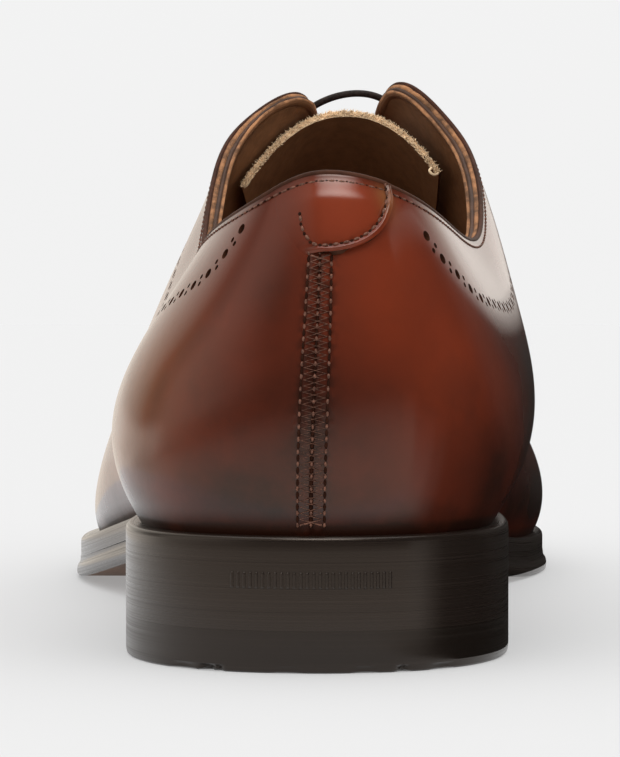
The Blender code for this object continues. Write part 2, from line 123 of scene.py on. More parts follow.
MEDIAL = (
    LATERAL[0],
    Station("heel corner", 7.0, 2.4, 6.5, 20.0, 16.5, 12.0, 79.8, 6.0, -5.0, -18.0),
    Station("heel side", 30.0, 2.6, 12.0, 19.0, 24.8, 37.0, 74.2, 7.0, -1.0, -14.0),
    Station("ankle", 62.0, 2.6, 18.0, 19.0, 29.4, 63.0, 74.8, 5.0, 0.0, -12.0),
    Station("collar rise", 92.0, 2.6, 22.5, 19.5, 29.2, 89.0, 87.6, 5.0, 0.0, -15.0),
    Station("facing back", 110.0, 2.8, 24.5, 20.0, 23.0, 104.0, 98.8, 8.0, 0.0, -13.0),
    Station("facing top", 126.0, 2.8, 23.0, 20.0, 12.8, 114.0, 104.8, 12.5, 1.0, -10.0),
    Station("facing upper", 146.0, 2.8, 20.0, 20.0, 7.4, 140.0, 88.2, 17.5, 2.0, -6.5),
    Station("facing lower", 169.0, 2.8, 15.5, 20.0, 3.2, 168.0, 73.6, 21.5, 3.0, -5.5),
    Station("throat", 197.0, 2.8, 11.0, 20.5, 0.1, 193.0, 62.6, 23.0, 5.0, -4.0),
    Station("vamp side", 233.0, 3.6, 8.5, 19.0, -0.5, 199.0, 60.2, 17.5, 20.0, -5.5),
    Station("toe side", 271.0, 4.6, 6.0, 18.0, -1.5, 200.7, 59.6, 9.5, 44.0, -11.0),
    LATERAL[-1],
)
SIDE_STATIONS = len(LATERAL) - 1
ROUND = 2 * SIDE_STATIONS
# Points that a curve is measured at, along one side of the shoe and all round it
SCAN_POINTS = 2001
ROUND_SCAN_POINTS = 4001


class Spline:
    """A smooth cubic curve through rows of values: closed when a period is given, else with free ends."""

    def __init__(self, knots, rows, period=None):
        knots = np.asarray(knots, float)
        rows = np.asarray(rows, float)
        if period is not None:
            knots = np.append(knots, knots[0] + period)
            rows = np.vstack([rows, rows[:1]])
        self.knots = knots
        self.rows = rows
        self.period = period
        self.slopes = self.solve_slopes()

    def solve_slopes(self):
        """Slopes at the knots that keep the curvature unbroken from each span to the next."""
        steps = np.diff(self.knots)
        rises = np.diff(self.rows, axis=0) / steps[:, None]
        count = len(self.knots)
        matrix = np.zeros((count, count))
        sums = np.zeros_like(self.rows)
        for i in range(1, count - 1):
            matrix[i, i - 1] = 1 / steps[i - 1]
            matrix[i, i + 1] = 1 / steps[i]
            matrix[i, i] = 2 * (matrix[i, i - 1] + matrix[i, i + 1])
            sums[i] = 3 * (rises[i - 1] / steps[i - 1] + rises[i] / steps[i])
        if self.period is None:
            matrix[0, :2] = 2, 1
            sums[0] = 3 * rises[0]
            matrix[-1, -2:] = 1, 2
            sums[-1] = 3 * rises[-1]
        else:
            matrix[0, 1] = 1 / steps[0]
            matrix[0, -2] = 1 / steps[-1]
            matrix[0, 0] = 2 * (matrix[0, 1] + matrix[0, -2])
            sums[0] = 3 * (rises[-1] / steps[-1] + rises[0] / steps[0])
            matrix[-1, 0] = 1
            matrix[-1, -1] = -1
        return np.linalg.solve(matrix, sums)

    def __call__(self, at):
        """The curve's values at one place or at an array of places, with the values along the last axis."""
        at = np.asarray(at, float)
        if self.period is not None:
            at = self.knots[0] + (at - self.knots[0]) % self.period
        span = np.clip(np.searchsorted(self.knots, at, side="right") - 1, 0, len(self.knots) - 2)
        step = (self.knots[span + 1] - self.knots[span])[..., None]
        t = (at - self.knots[span])[..., None] / step
        return (
            (1 + 2 * t) * (1 - t) ** 2 * self.rows[span]
            + t * (1 - t) ** 2 * step * self.slopes[span]
            + t * t * (3 - 2 * t) * self.rows[span + 1]
            - t * t * (1 - t) * step * self.slopes[span + 1]
        )


def along_points(points):
    """Distances along a run of points."""
    return np.concatenate([[0.0], np.cumsum(np.linalg.norm(np.diff(points, axis=0), axis=1))])


def spread(points, count):
    """This many points, evenly along the smooth curve through the points given."""
    points = np.asarray(points, float)
    along = along_points(points)
    return Spline(along, points)(np.linspace(0.0, along[-1], count))


def smooth_step(value, start, end):
    """Rises from 0 at start to 1 at end, level at both."""
    t = np.clip((np.asarray(value, float) - start) / (end - start), 0.0, 1.0)
    return t * t * (3 - 2 * t)


def hump(distance, height, half_width):
    """A soft ridge at distance 0, or a trough where its height is negative."""
    return height * np.exp(-((distance / half_width) ** 2))


def at_height(flat, z):
    """Points (x, s) set at one height, or at a height each."""
    return np.concatenate([flat, np.broadcast_to(z, flat.shape[:-1])[..., None]], axis=-1)


def outline_spline():
    """The sole's edge as a closed curve: 0 at the heel's back, 1 at the toe's tip, 2 at the heel again."""
    lateral = [(row.lateral, row.s) for row in OUTLINE]
    medial = [(row.medial, row.s) for row in OUTLINE]
    chords = [
        (math.dist(lateral[i], lateral[i + 1]) + math.dist(medial[i], medial[i + 1])) / 2
        for i in range(len(OUTLINE) - 1)
    ]
    along = np.concatenate([[0.0], np.cumsum(chords)]) / sum(chords)
    knots = np.concatenate([along, 2 - along[-2:0:-1]])
    return Spline(knots, lateral + medial[-2:0:-1], period=2.0)


def station_splines():
    """Where on the outline each column stands, and the columns' other sizes, as curves round the shoe."""
    scan = np.linspace(0.0, 1.0, SCAN_POINTS)
    scanned_s = SOLE_EDGE(scan)[:, 1]
    feet = np.interp([row.foot_s for row in LATERAL], scanned_s, scan)
    feet[-1] = 1.0
    around = np.concatenate([feet, 2 - feet[-2:0:-1]])
    knots = np.arange(ROUND)
    drift = around - knots / SIDE_STATIONS
    sizes = [row[2:] for row in LATERAL] + [row[2:] for row in MEDIAL[-2:0:-1]]
    return Spline(knots, drift[:, None], period=ROUND), Spline(knots, sizes, period=ROUND)


SOLE_EDGE = outline_spline()
FOOT_DRIFT, COLUMN_SIZES = station_splines()


def seat_rise():
    """Height of the outsole's underside over the heel."""
    return TOP_PIECE_THICKNESS + sum(LIFT_THICKNESSES) + (1 + len(LIFT_THICKNESSES)) * JOINT_GAP


def sole_rise(s):
    """Height of the outsole's underside: level heel, arch, flat tread and toe spring."""
    s = np.asarray(s, float)
    arch = seat_rise() * (1 - smooth_step(s, SEAT_END_S, TREAD_START_S))
    past_tread = np.maximum(s - TREAD_END_S, 0.0) / (SHOE_LENGTH - TREAD_END_S)
    return np.where(s < TREAD_START_S, arch, TOE_SPRING * past_tread**2)


def welt_top(s):
    return sole_rise(s) + OUTSOLE_THICKNESS + JOINT_GAP + WELT_THICKNESS


def edge_point(k, inset):
    """Points (x, s) that are inside the sole's edge by the inset, at places k round the shoe."""
    k = np.asarray(k, float)
    u = FOOT_DRIFT(k)[..., 0] + k / SIDE_STATIONS
    step = 1e-4
    along = unit(SOLE_EDGE(u + step) - SOLE_EDGE(u - step))
    inwards = np.stack([along[..., 1], -along[..., 0]], axis=-1)
    return SOLE_EDGE(u) + np.asarray(inset, float)[..., None] * inwards


def column_sizes(k):
    return Station("between", 0.0, *np.moveaxis(COLUMN_SIZES(k), -1, 0))


def column_handles(k):
    """The four handles of the upper's columns at places k."""
    sizes = column_sizes(k)
    foot_edge = edge_point(k, sizes.margin)
    belly_edge = edge_point(k, sizes.margin - sizes.belly_out)
    foot_z = welt_top(foot_edge[..., 1]) + JOINT_GAP
    foot = at_height(foot_edge, foot_z)
    belly = at_height(belly_edge, foot_z + sizes.belly_up)
    top = np.stack([sizes.top_x, sizes.top_s, sizes.top_z], axis=-1)
    hand = top + np.stack([sizes.hand_x, sizes.hand_s, sizes.hand_z], axis=-1)
    return foot, belly, hand, top


def skin_point(k, v):
    """The upper's outer face: place k round the shoe, v from the welt (0) to the top edge (1)."""
    k, v = np.broadcast_arrays(np.asarray(k, float), np.asarray(v, float))
    foot, belly, hand, top = column_handles(k)
    v = v[..., None]
    w = 1 - v
    return w**3 * foot + 3 * w * w * v * belly + 3 * w * v * v * hand + v**3 * top


def skin_steps(k, v):
    """How the outer face runs round the shoe and upwards, for one unit of k and of v."""
    k, v = np.broadcast_arrays(np.asarray(k, float), np.asarray(v, float))
    step_k = 0.01
    step_v = 0.004
    low = np.maximum(v - step_v, 0.0)
    high = np.minimum(v + step_v, 1.0)
    around = (skin_point(k + step_k, v) - skin_point(k - step_k, v)) / (2 * step_k)
    upward = (skin_point(k, high) - skin_point(k, low)) / (high - low)[..., None]
    return around, upward


def unit(vectors):
    return vectors / np.linalg.norm(vectors, axis=-1, keepdims=True)


def skin_out(k, v):
    """Unit vectors that point out of the leather."""
    around, upward = skin_steps(k, v)
    return unit(np.cross(upward, around))


def skin(k, v, depth=0.0):
    """Points that lie this deep under the upper's outer face, or above it where the depth is negative."""
    return skin_point(k, v) - np.asarray(depth, float)[..., None] * skin_out(k, v)


def to_world(points):
    """From the last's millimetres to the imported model's metres."""
    return (np.asarray(points, float) + np.array([HEEL_CENTRE_X, -SHOE_LENGTH / 2, 0.0])) * MM


def length_property(name, description, millimetres):
    default = millimetres * MM
    return bpy.props.FloatProperty(name=name, description=description, default=default, unit="LENGTH")


def colour_property(name, description, default):
    return bpy.props.FloatVectorProperty(
        name=name, description=description, default=default, subtype="COLOR", size=3, min=0.0, max=1.0
    )


class OxfordSizes(bpy.types.PropertyGroup):
    """Sizes that a maker would choose."""

    leather_thickness: length_property("Leather thickness", "Thickness of the outer calf", 1.2)
    lining_thickness: length_property("Lining thickness", "Thickness of the lining leather", 0.8)
    large_hole: length_property("Large hole", "Radius of the large punched holes", 0.95)
    small_hole: length_property("Small hole", "Radius of the paired punched holes", 0.5)
    hole_pitch: length_property("Hole pitch", "From one large hole to the next", 5.2)
    eyelet_radius: length_property("Eyelet radius", "Radius of the eyelets", 1.25)
    lace_radius: length_property("Lace radius", "Radius of the round lace", 0.7)
    stitch_pitch: length_property("Stitch pitch", "From one stitch to the next", 1.7)
    stitch_width: length_property("Stitch width", "Thickness of the sewing thread", 0.42)
    seam_width: length_property("Seam width", "Between the outer rows of the back seam", 3.9)
    ridge_count: bpy.props.IntProperty(
        name="Seat ridges", description="Fine ridges across the back of the heel seat", default=26, min=2
    )


class OxfordColours(bpy.types.PropertyGroup):
    """Colours of the shoe's leathers, edges and threads."""

    calf: colour_property("Calf", "Body colour of the polished calf", (0.108, 0.0155, 0.0050))
    glow: colour_property("Glow", "Where the dye is thin and shows red", (0.205, 0.026, 0.0052))
    # Also the colour of the painted shade down the medial side, in the welt's crevice and in creases
    burnish: colour_property("Burnish", "Where the polish is dark", (0.0165, 0.0044, 0.0021))
    pale: colour_property("Pale", "Where the dye is rubbed back to tan", (0.20, 0.066, 0.018))
    cut_edge: colour_property("Cut edge", "Raw edges of the leather", (0.42, 0.19, 0.08))
    lining: colour_property("Lining", "Inside of the shoe", (0.24, 0.105, 0.045))
    folded_edge: colour_property("Folded edge", "Bead along the top of the upper", (0.068, 0.024, 0.012))
    facing_fold: colour_property("Facing fold", "Fold between the facings' layers", (0.085, 0.036, 0.018))
    tongue_edge: colour_property("Tongue edge", "Fuzzy raw edge of the tongue", (1.0, 0.74, 0.47))
    sole_edge: colour_property("Sole edge", "Waxed edges of sole and heel", (0.0112, 0.0071, 0.0053))
    sole_face: colour_property("Sole face", "Underside of the sole", (0.16, 0.075, 0.035))
    rubber: colour_property("Rubber", "Top piece of the heel", (0.0080, 0.0052, 0.0038))
    thread: colour_property("Thread", "Sewing thread", (0.19, 0.082, 0.052))
    # Flat dark marks that paint the shade in the needle holes
    needle_hole: colour_property("Needle hole", "Holes that the needle leaves", (0.032, 0.011, 0.006))
    lace: colour_property("Lace", "Waxed lace", (0.028, 0.016, 0.012))
    floor: colour_property("Floor", "Studio floor", (0.455, 0.455, 0.455))


def sizes():
    return bpy.context.scene.oxford_sizes


def colours():
    return bpy.context.scene.oxford_colours


def mm(length):
    """A property's metres in the last's millimetres."""
    return length / MM


# Node trees


def add_node(tree, kind, inputs=None, **settings):
    """A new node with its settings. An input that is a socket is linked, and any other is set."""
    node = tree.nodes.new(kind)
    for key, value in settings.items():
        setattr(node, key, value)
    for key, value in (inputs or {}).items():
        if isinstance(value, bpy.types.NodeSocket):
            tree.links.new(value, node.inputs[key])
        else:
            node.inputs[key].default_value = value
    return node


def new_group(name, kind, sockets_in, sockets_out):
    """An empty node group with named sockets, and its two end nodes."""
    tree = bpy.data.node_groups.new(name, kind)
    for socket_name, socket_type, default in sockets_in:
        socket = tree.interface.new_socket(socket_name, in_out="INPUT", socket_type=socket_type)
        if default is not None:
            socket.default_value = default
    for socket_name, socket_type in sockets_out:
        tree.interface.new_socket(socket_name, in_out="OUTPUT", socket_type=socket_type)
    return tree, tree.nodes.new("NodeGroupInput"), tree.nodes.new("NodeGroupOutput")


def maths(tree, operation, first, second=0.0, clamp=False):
    node = add_node(tree, "ShaderNodeMath", {0: first, 1: second}, operation=operation, use_clamp=clamp)
    return node.outputs[0]


def blend_colour(tree, factor, first, second):
    inputs = {"Factor": factor, 6: first, 7: second}
    return add_node(tree, "ShaderNodeMix", inputs, data_type="RGBA").outputs[2]


def noise(tree, vector, scale, detail=3.0, roughness=0.55):
    inputs = {"Vector": vector, "Scale": scale, "Detail": detail, "Roughness": roughness}
    return add_node(tree, "ShaderNodeTexNoise", inputs).outputs["Fac"]


def rounded_cells(tree, vector, scale):
    node = add_node(tree, "ShaderNodeTexVoronoi", {"Vector": vector, "Scale": scale}, feature="SMOOTH_F1")
    return node.outputs["Distance"]


def ramp(tree, value, low, high, to_low=0.0, to_high=1.0):
    """A value stretched from one range to another, and held at the ends."""
    node = add_node(
        tree,
        "ShaderNodeMapRange",
        {"Value": value, "From Min": low, "From Max": high, "To Min": to_low, "To Max": to_high},
        interpolation_type="SMOOTHSTEP",
    )
    return node.outputs["Result"]


def opaque(colour):
    return (*colour, 1.0)


# The leather's grain, by the scale of its pores: its fine creases, its mottling, and the weight of the
# pores
CREASE_SCALE = 0.45
MOTTLE_SCALE = 0.035
PORE_WEIGHT = 0.6


def grain_group():
    """Pores and fine creases of leather, and the slow mottling of its dye."""
    tree, ends_in, ends_out = new_group(
        "leather_grain",
        "ShaderNodeTree",
        [("Vector", "NodeSocketVector", None), ("Pore Scale", "NodeSocketFloat", 1800.0)],
        [("Height", "NodeSocketFloat"), ("Mottle", "NodeSocketFloat")],
    )
    vector = ends_in.outputs["Vector"]
    scale = ends_in.outputs["Pore Scale"]
    pores = maths(tree, "MULTIPLY", rounded_cells(tree, vector, scale), PORE_WEIGHT)
    creases = noise(tree, vector, maths(tree, "MULTIPLY", scale, CREASE_SCALE), detail=4.0)
    tree.links.new(maths(tree, "ADD", pores, creases), ends_out.inputs["Height"])
    mottle = noise(tree, vector, maths(tree, "MULTIPLY", scale, MOTTLE_SCALE), detail=5.0, roughness=0.6)
    tree.links.new(mottle, ends_out.inputs["Mottle"])
    return tree


# Scratches are broader than the scuffs' relief, and show where their noise is in this range
SCRATCH_SCALE = 0.6
SCRATCH_RANGE = (0.52, 0.72)


def scuff_group():
    """Fine level scratches, as a rasp and glass paper leave them on a finished edge."""
    tree, ends_in, ends_out = new_group(
        "edge_scuffs",
        "ShaderNodeTree",
        [
            ("Vector", "NodeSocketVector", None),
            ("Along", "NodeSocketFloat", 60.0),
            ("Across", "NodeSocketFloat", 5200.0),
        ],
        [("Height", "NodeSocketFloat"), ("Mask", "NodeSocketFloat")],
    )
    given = ends_in.outputs
    along = given["Along"]
    stretch = add_node(tree, "ShaderNodeCombineXYZ", {0: along, 1: along, 2: given["Across"]})
    stretched = add_node(
        tree, "ShaderNodeVectorMath", {0: given["Vector"], 1: stretch.outputs[0]}, operation="MULTIPLY"
    ).outputs[0]
    tree.links.new(noise(tree, stretched, 1.0, detail=2.0), ends_out.inputs["Height"])
    mask = ramp(tree, noise(tree, stretched, SCRATCH_SCALE), *SCRATCH_RANGE)
    tree.links.new(mask, ends_out.inputs["Mask"])
    return tree


def shared_group(name, builder):
    """A node group that is built once and then used wherever it is needed."""
    return bpy.data.node_groups.get(name) or builder()


def effect(tree, name, builder, inputs):
    """Outputs of a shared effect, placed in a material with its own values."""
    return add_node(tree, "ShaderNodeGroup", inputs, node_tree=shared_group(name, builder)).outputs


def start_material(name, roughness, coat=0.0, coat_roughness=0.1, specular=0.5, tint=(1.0, 1.0, 1.0)):
    """A material with a Principled shader, and its object coordinates."""
    material = bpy.data.materials.new(name)
    material.use_nodes = True
    tree = material.node_tree
    shader = tree.nodes["Principled BSDF"]
    shader.inputs["Roughness"].default_value = roughness
    shader.inputs["Coat Weight"].default_value = coat
    shader.inputs["Coat Roughness"].default_value = coat_roughness
    shader.inputs["Specular IOR Level"].default_value = specular
    shader.inputs["Specular Tint"].default_value = opaque(tint)
    place = add_node(tree, "ShaderNodeTexCoord").outputs["Object"]
    return material, tree, shader, place


def set_bump(tree, shader, height, distance, strength=1.0, socket="Normal"):
    bump = add_node(tree, "ShaderNodeBump", {"Height": height, "Distance": distance, "Strength": strength})
    tree.links.new(bump.outputs["Normal"], shader.inputs[socket])


def vertex_value(tree, name):
    return add_node(tree, "ShaderNodeAttribute", attribute_name=name).outputs["Fac"]


WARM_GLOSS = (1.0, 0.82, 0.70)
CALF_POLISH = 0.9
CALF_POLISH_ROUGHNESS = 0.15
CALF_SPECULAR = 0.12
CALF_ROUGHNESS = (0.32, 0.44)
CALF_PORE_SCALE = 1900.0
# Depth of the calf's relief in metres, and how much of it shows in the leather and in the polish over it
CALF_RELIEF = 0.00002
CALF_GRAIN = 0.55
POLISH_GRAIN = 0.2
# The mottling's range, how far it moves the painted dyes, and the share of the pale dye that it leaves
MOTTLE_RANGE = (0.3, 0.7)
MOTTLE_FULL_RANGE = (0.25, 0.75)
DYE_UNEVENNESS = 0.2
PALE_SHARE = (0.7, 1.2)
# Small swells that sewing draws up in the leather, with painted shade in the creases between them
PEBBLE_SCALE = 900.0
PEBBLE_RANGE = (0.25, 0.6)
PEBBLE_SHADE = 0.55
PEBBLE_SWELL = 9.0


def calf_material():
    """Polished calf: the painted burnish and shade, and the glow, broken up by the dye's mottling."""
    material, tree, shader, place = start_material(
        "polished_calf",
        sum(CALF_ROUGHNESS) / 2,
        CALF_POLISH,
        CALF_POLISH_ROUGHNESS,
        CALF_SPECULAR,
        WARM_GLOSS,
    )
    grain = effect(tree, "leather_grain", grain_group, {"Vector": place, "Pore Scale": CALF_PORE_SCALE})
    mottle = grain["Mottle"]
    uneven = ramp(tree, mottle, *MOTTLE_RANGE, -DYE_UNEVENNESS, DYE_UNEVENNESS)
    glow = maths(tree, "ADD", vertex_value(tree, "glow"), uneven, clamp=True)
    # Dark burnish and painted shade, moved by the mottling
    dark = maths(tree, "ADD", vertex_value(tree, "burnish"), uneven, clamp=True)
    rubbed = ramp(tree, mottle, *MOTTLE_RANGE, *PALE_SHARE)
    pale = maths(tree, "MULTIPLY", vertex_value(tree, "pale"), rubbed, clamp=True)
    pucker = vertex_value(tree, "pucker")
    pebbles = rounded_cells(tree, place, PEBBLE_SCALE)
    # Painted shade in the creases between the swells
    crease_shade = maths(tree, "MULTIPLY", pucker, ramp(tree, pebbles, *PEBBLE_RANGE, 0.0, PEBBLE_SHADE))
    colour = opaque(colours().calf)
    layers = (
        (glow, colours().glow),
        (pale, colours().pale),
        (dark, colours().burnish),
        (crease_shade, colours().burnish),
    )
    for share, dye in layers:
        colour = blend_colour(tree, share, colour, opaque(dye))
    tree.links.new(colour, shader.inputs["Base Color"])
    tree.links.new(ramp(tree, mottle, *MOTTLE_FULL_RANGE, *CALF_ROUGHNESS), shader.inputs["Roughness"])
    # The polish is taken off where the painted shade lies in the crevice along the welt
    polished = maths(tree, "SUBTRACT", 1.0, vertex_value(tree, "dull"))
    tree.links.new(maths(tree, "MULTIPLY", polished, CALF_POLISH), shader.inputs["Coat Weight"])
    swell = maths(tree, "MULTIPLY", maths(tree, "MULTIPLY", pebbles, pucker), -PEBBLE_SWELL)
    relief = maths(tree, "ADD", grain["Height"], swell)
    set_bump(tree, shader, relief, CALF_RELIEF, CALF_GRAIN)
    set_bump(tree, shader, relief, CALF_RELIEF, POLISH_GRAIN, "Coat Normal")
    return material


# Raw leathers: material, colour, scale of the pores, roughness, gloss, and shade of the dark patches
RawFinish = namedtuple("RawFinish", "material colour pore_scale roughness specular dark_share")
RAW_FINISHES = {
    "cut_edge": RawFinish("cut_edge", "cut_edge", 2600.0, 0.8, 0.3, 0.22),
    "lining": RawFinish("lining_leather", "lining", 1500.0, 0.62, 0.2, 0.75),
    "tongue_edge": RawFinish("tongue_raw_edge", "tongue_edge", 1700.0, 0.9, 0.2, 0.7),
    "sole_face": RawFinish("sole_underside", "sole_face", 900.0, 0.6, 0.3, 0.55),
    # Painted shade for the needle holes
    "needle_hole": RawFinish("needle_hole", "needle_hole", 1500.0, 0.95, 0.05, 0.55),
    "bead": RawFinish("folded_edge", "folded_edge", 1500.0, 0.6, 0.12, 0.55),
    "fold": RawFinish("facing_fold", "facing_fold", 1500.0, 0.6, 0.3, 0.55),
}
RAW_PATCH_SCALE = 420.0
RAW_PATCH_RANGE = (0.36, 0.62)
RAW_MOTTLE_RANGE = (0.2, 0.8)
RAW_SMOOTHER = 0.1
RAW_RELIEF = 0.00008
RAW_GRAIN = 0.8


def raw_leather_material(row):
    """Unfinished leather: fibrous, matt and uneven."""
    material, tree, shader, place = start_material(row.material, row.roughness, specular=row.specular)
    grain = effect(tree, "leather_grain", grain_group, {"Vector": place, "Pore Scale": row.pore_scale})
    colour = getattr(colours(), row.colour)
    darker = [channel * row.dark_share for channel in colour]
    patches = noise(tree, place, RAW_PATCH_SCALE, detail=4.0, roughness=0.65)
    uneven = maths(tree, "MULTIPLY", maths(tree, "ADD", patches, grain["Mottle"]), 0.5)
    mixed = blend_colour(tree, ramp(tree, uneven, *RAW_PATCH_RANGE), opaque(darker), opaque(colour))
    tree.links.new(mixed, shader.inputs["Base Color"])
    rough = ramp(tree, grain["Mottle"], *RAW_MOTTLE_RANGE, row.roughness - RAW_SMOOTHER, row.roughness)
    tree.links.new(rough, shader.inputs["Roughness"])
    set_bump(tree, shader, grain["Height"], RAW_RELIEF, RAW_GRAIN)
    return material


# Waxed edges: material, colour, roughness, fineness of the scuffs across the edge, and polish
WaxedFinish = namedtuple("WaxedFinish", "material colour roughness across polish")
WAXED_FINISHES = {
    "sole_edge": WaxedFinish("waxed_sole_edge", "sole_edge", 0.3, 5200.0, 0.5),
    "rubber": WaxedFinish("heel_rubber", "rubber", 0.34, 3800.0, 0.4),
}
WAX_POLISH_ROUGHNESS = 0.2
WAX_SPECULAR = 0.4
SCUFF_ALONG = 14.0
SCUFF_RANGE = (0.3, 0.7)
SCUFF_SMOOTHER = 0.06
SCUFF_ROUGHER = 0.1
SCUFF_RELIEF = 0.00002
SCUFF_DEPTH = 0.14
# Where the wax is scratched: the colour's gain and lift, and the share that shows
WORN_GAIN = 2.2
WORN_LIFT = 0.004
WORN_SHARE = 0.4


def waxed_edge_material(row):
    """Waxed and burnished edge with level scuffs."""
    material, tree, shader, place = start_material(
        row.material, row.roughness, row.polish, WAX_POLISH_ROUGHNESS, WAX_SPECULAR, WARM_GLOSS
    )
    flat = add_node(tree, "ShaderNodeSeparateXYZ", {0: place}).outputs
    run = vertex_value(tree, "edge_run")
    level = add_node(tree, "ShaderNodeCombineXYZ", {0: flat["X"], 1: flat["Y"], 2: run}).outputs[0]
    inputs = {"Vector": level, "Along": SCUFF_ALONG, "Across": row.across}
    scuffs = effect(tree, "edge_scuffs", scuff_group, inputs)
    colour = getattr(colours(), row.colour)
    worn = [min(channel * WORN_GAIN + WORN_LIFT, 1.0) for channel in colour]
    wear = maths(tree, "MULTIPLY", scuffs["Mask"], WORN_SHARE)
    tree.links.new(blend_colour(tree, wear, opaque(colour), opaque(worn)), shader.inputs["Base Color"])
    smoother = row.roughness - SCUFF_SMOOTHER
    rougher = row.roughness + SCUFF_ROUGHER
    rough = ramp(tree, scuffs["Height"], *SCUFF_RANGE, smoother, rougher)
    tree.links.new(rough, shader.inputs["Roughness"])
    set_bump(tree, shader, scuffs["Height"], SCUFF_RELIEF, SCUFF_DEPTH)
    return material


# Threads: material, colour, and scale of the twist
ThreadFinish = namedtuple("ThreadFinish", "material colour twist_scale")
THREAD_FINISHES = {
    "thread": ThreadFinish("sewing_thread", "thread", 2400.0),
    "lace": ThreadFinish("waxed_lace", "lace", 1500.0),
}
THREAD_ROUGHNESS = 0.6
THREAD_SPECULAR = 0.25
THREAD_DARK_SHARE = 0.4
THREAD_TWIST_RANGE = (0.35, 0.65)
THREAD_RELIEF = 0.00005
THREAD_TWIST = 0.6


def thread_material(row):
    """Twisted waxed thread."""
    material, tree, shader, place = start_material(row.material, THREAD_ROUGHNESS, specular=THREAD_SPECULAR)
    twist = noise(tree, place, row.twist_scale, detail=2.0)
    colour = getattr(colours(), row.colour)
    darker = [channel * THREAD_DARK_SHARE for channel in colour]
    mixed = blend_colour(tree, ramp(tree, twist, *THREAD_TWIST_RANGE), opaque(darker), opaque(colour))
    tree.links.new(mixed, shader.inputs["Base Color"])
    set_bump(tree, shader, twist, THREAD_RELIEF, THREAD_TWIST)
    return material


made_finishes = {}


def make_finish(name):
    if name == "calf":
        return calf_material()
    if name in WAXED_FINISHES:
        return waxed_edge_material(WAXED_FINISHES[name])
    if name in THREAD_FINISHES:
        return thread_material(THREAD_FINISHES[name])
    return raw_leather_material(RAW_FINISHES[name])


def finish(name):
    """The material of that finish, made when it is first asked for."""
    if name not in made_finishes:
        made_finishes[name] = make_finish(name)
    return made_finishes[name]


# Meshes


def grid_quads(rows, columns, wrap_rows=False, wrap_columns=False):
    """Corner numbers of the faces between neighbouring points of a grid."""
    row, column = np.meshgrid(
        np.arange(rows if wrap_rows else rows - 1),
        np.arange(columns if wrap_columns else columns - 1),
        indexing="ij",
    )
    next_row = (row + 1) % rows
    next_column = (column + 1) % columns
    corners = (
        row * columns + column,
        row * columns + next_column,
        next_row * columns + next_column,
        next_row * columns + column,
    )
    return np.stack(corners, axis=-1).reshape(-1, 4).tolist()


def make_mesh(name, points, faces, values=None):
    """A smooth mesh from points in the last's millimetres, with values painted on its points."""
    mesh = bpy.data.meshes.new(name)
    mesh.from_pydata(to_world(np.reshape(points, (-1, 3))).tolist(), [], faces)
    for key, painted in (values or {}).items():
        attribute = mesh.attributes.new(key, "FLOAT", "POINT")
        attribute.data.foreach_set("value", np.ravel(painted).astype(np.float32))
    mesh.update()
    mesh.shade_smooth()
    return mesh


def weld(mesh, outwards=False):
    """Joins points that lie on each other, and turns the faces of a closed mesh outwards."""
    work = bmesh.new()
    work.from_mesh(mesh)
    bmesh.ops.remove_doubles(work, verts=work.verts, dist=1e-6)
    if outwards:
        bmesh.ops.recalc_face_normals(work, faces=work.faces)
    work.to_mesh(mesh)
    work.free()


def add_object(name, mesh, finishes):
    piece = bpy.data.objects.new(name, mesh)
    bpy.context.scene.collection.objects.link(piece)
    for finish_name in finishes:
        mesh.materials.append(finish(finish_name))
    return piece


def bake_modifiers(piece):
    """Turns what the piece's modifiers make into its own plain mesh."""
    bpy.context.view_layer.update()
    depsgraph = bpy.context.evaluated_depsgraph_get()
    mesh = bpy.data.meshes.new_from_object(piece.evaluated_get(depsgraph))
    old = piece.data
    piece.modifiers.clear()
    piece.data = mesh
    bpy.data.meshes.remove(old)
    mesh.name = piece.name
    if not len(mesh.polygons):
        raise RuntimeError(f"{piece.name} came out empty")
    return piece


def place_piece(piece, nodes=()):
    """Fixes a finished piece to the shoe, in the place of the solids that it stands for."""
    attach(piece, BODY)
    if nodes:
        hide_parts(*nodes)
    return piece


ROUNDED_FROM_ANGLE = math.radians(50)
SHARP_FROM_ANGLE = math.radians(40)


def thicken(piece, thickness, other_side=0, rim=0):
    """Gives an open sheet its wall, behind the face that is modelled."""
    wall = piece.modifiers.new("wall", "SOLIDIFY")
    wall.thickness = thickness * MM
    wall.offset = -1.0
    wall.use_even_offset = False
    wall.material_offset = other_side
    wall.material_offset_rim = rim
    return wall


def round_edges(piece, width):
    bevel = piece.modifiers.new("rounded", "BEVEL")
    bevel.width = width * MM
    bevel.segments = 2
    bevel.limit_method = "ANGLE"
    bevel.angle_limit = ROUNDED_FROM_ANGLE


def sharpen(piece, angle=SHARP_FROM_ANGLE):
    """Keeps the shading of cut rims apart from that of the faces beside them."""
    piece.data.set_sharp_from_angle(angle=angle)


def even_places(v, spacing):
    """Places k all round the shoe, this far apart along the upper at one height."""
    scan = np.linspace(0.0, ROUND, ROUND_SCAN_POINTS)
    along = along_points(skin_point(scan, v))
    count = int(round(along[-1] / spacing))
    return np.interp(np.linspace(0.0, along[-1], count, endpoint=False), along, scan)


def signed(k):
    """Place round the shoe from the back seam: lateral is positive, medial is negative."""
    return (np.asarray(k, float) + SIDE_STATIONS) % ROUND - SIDE_STATIONS


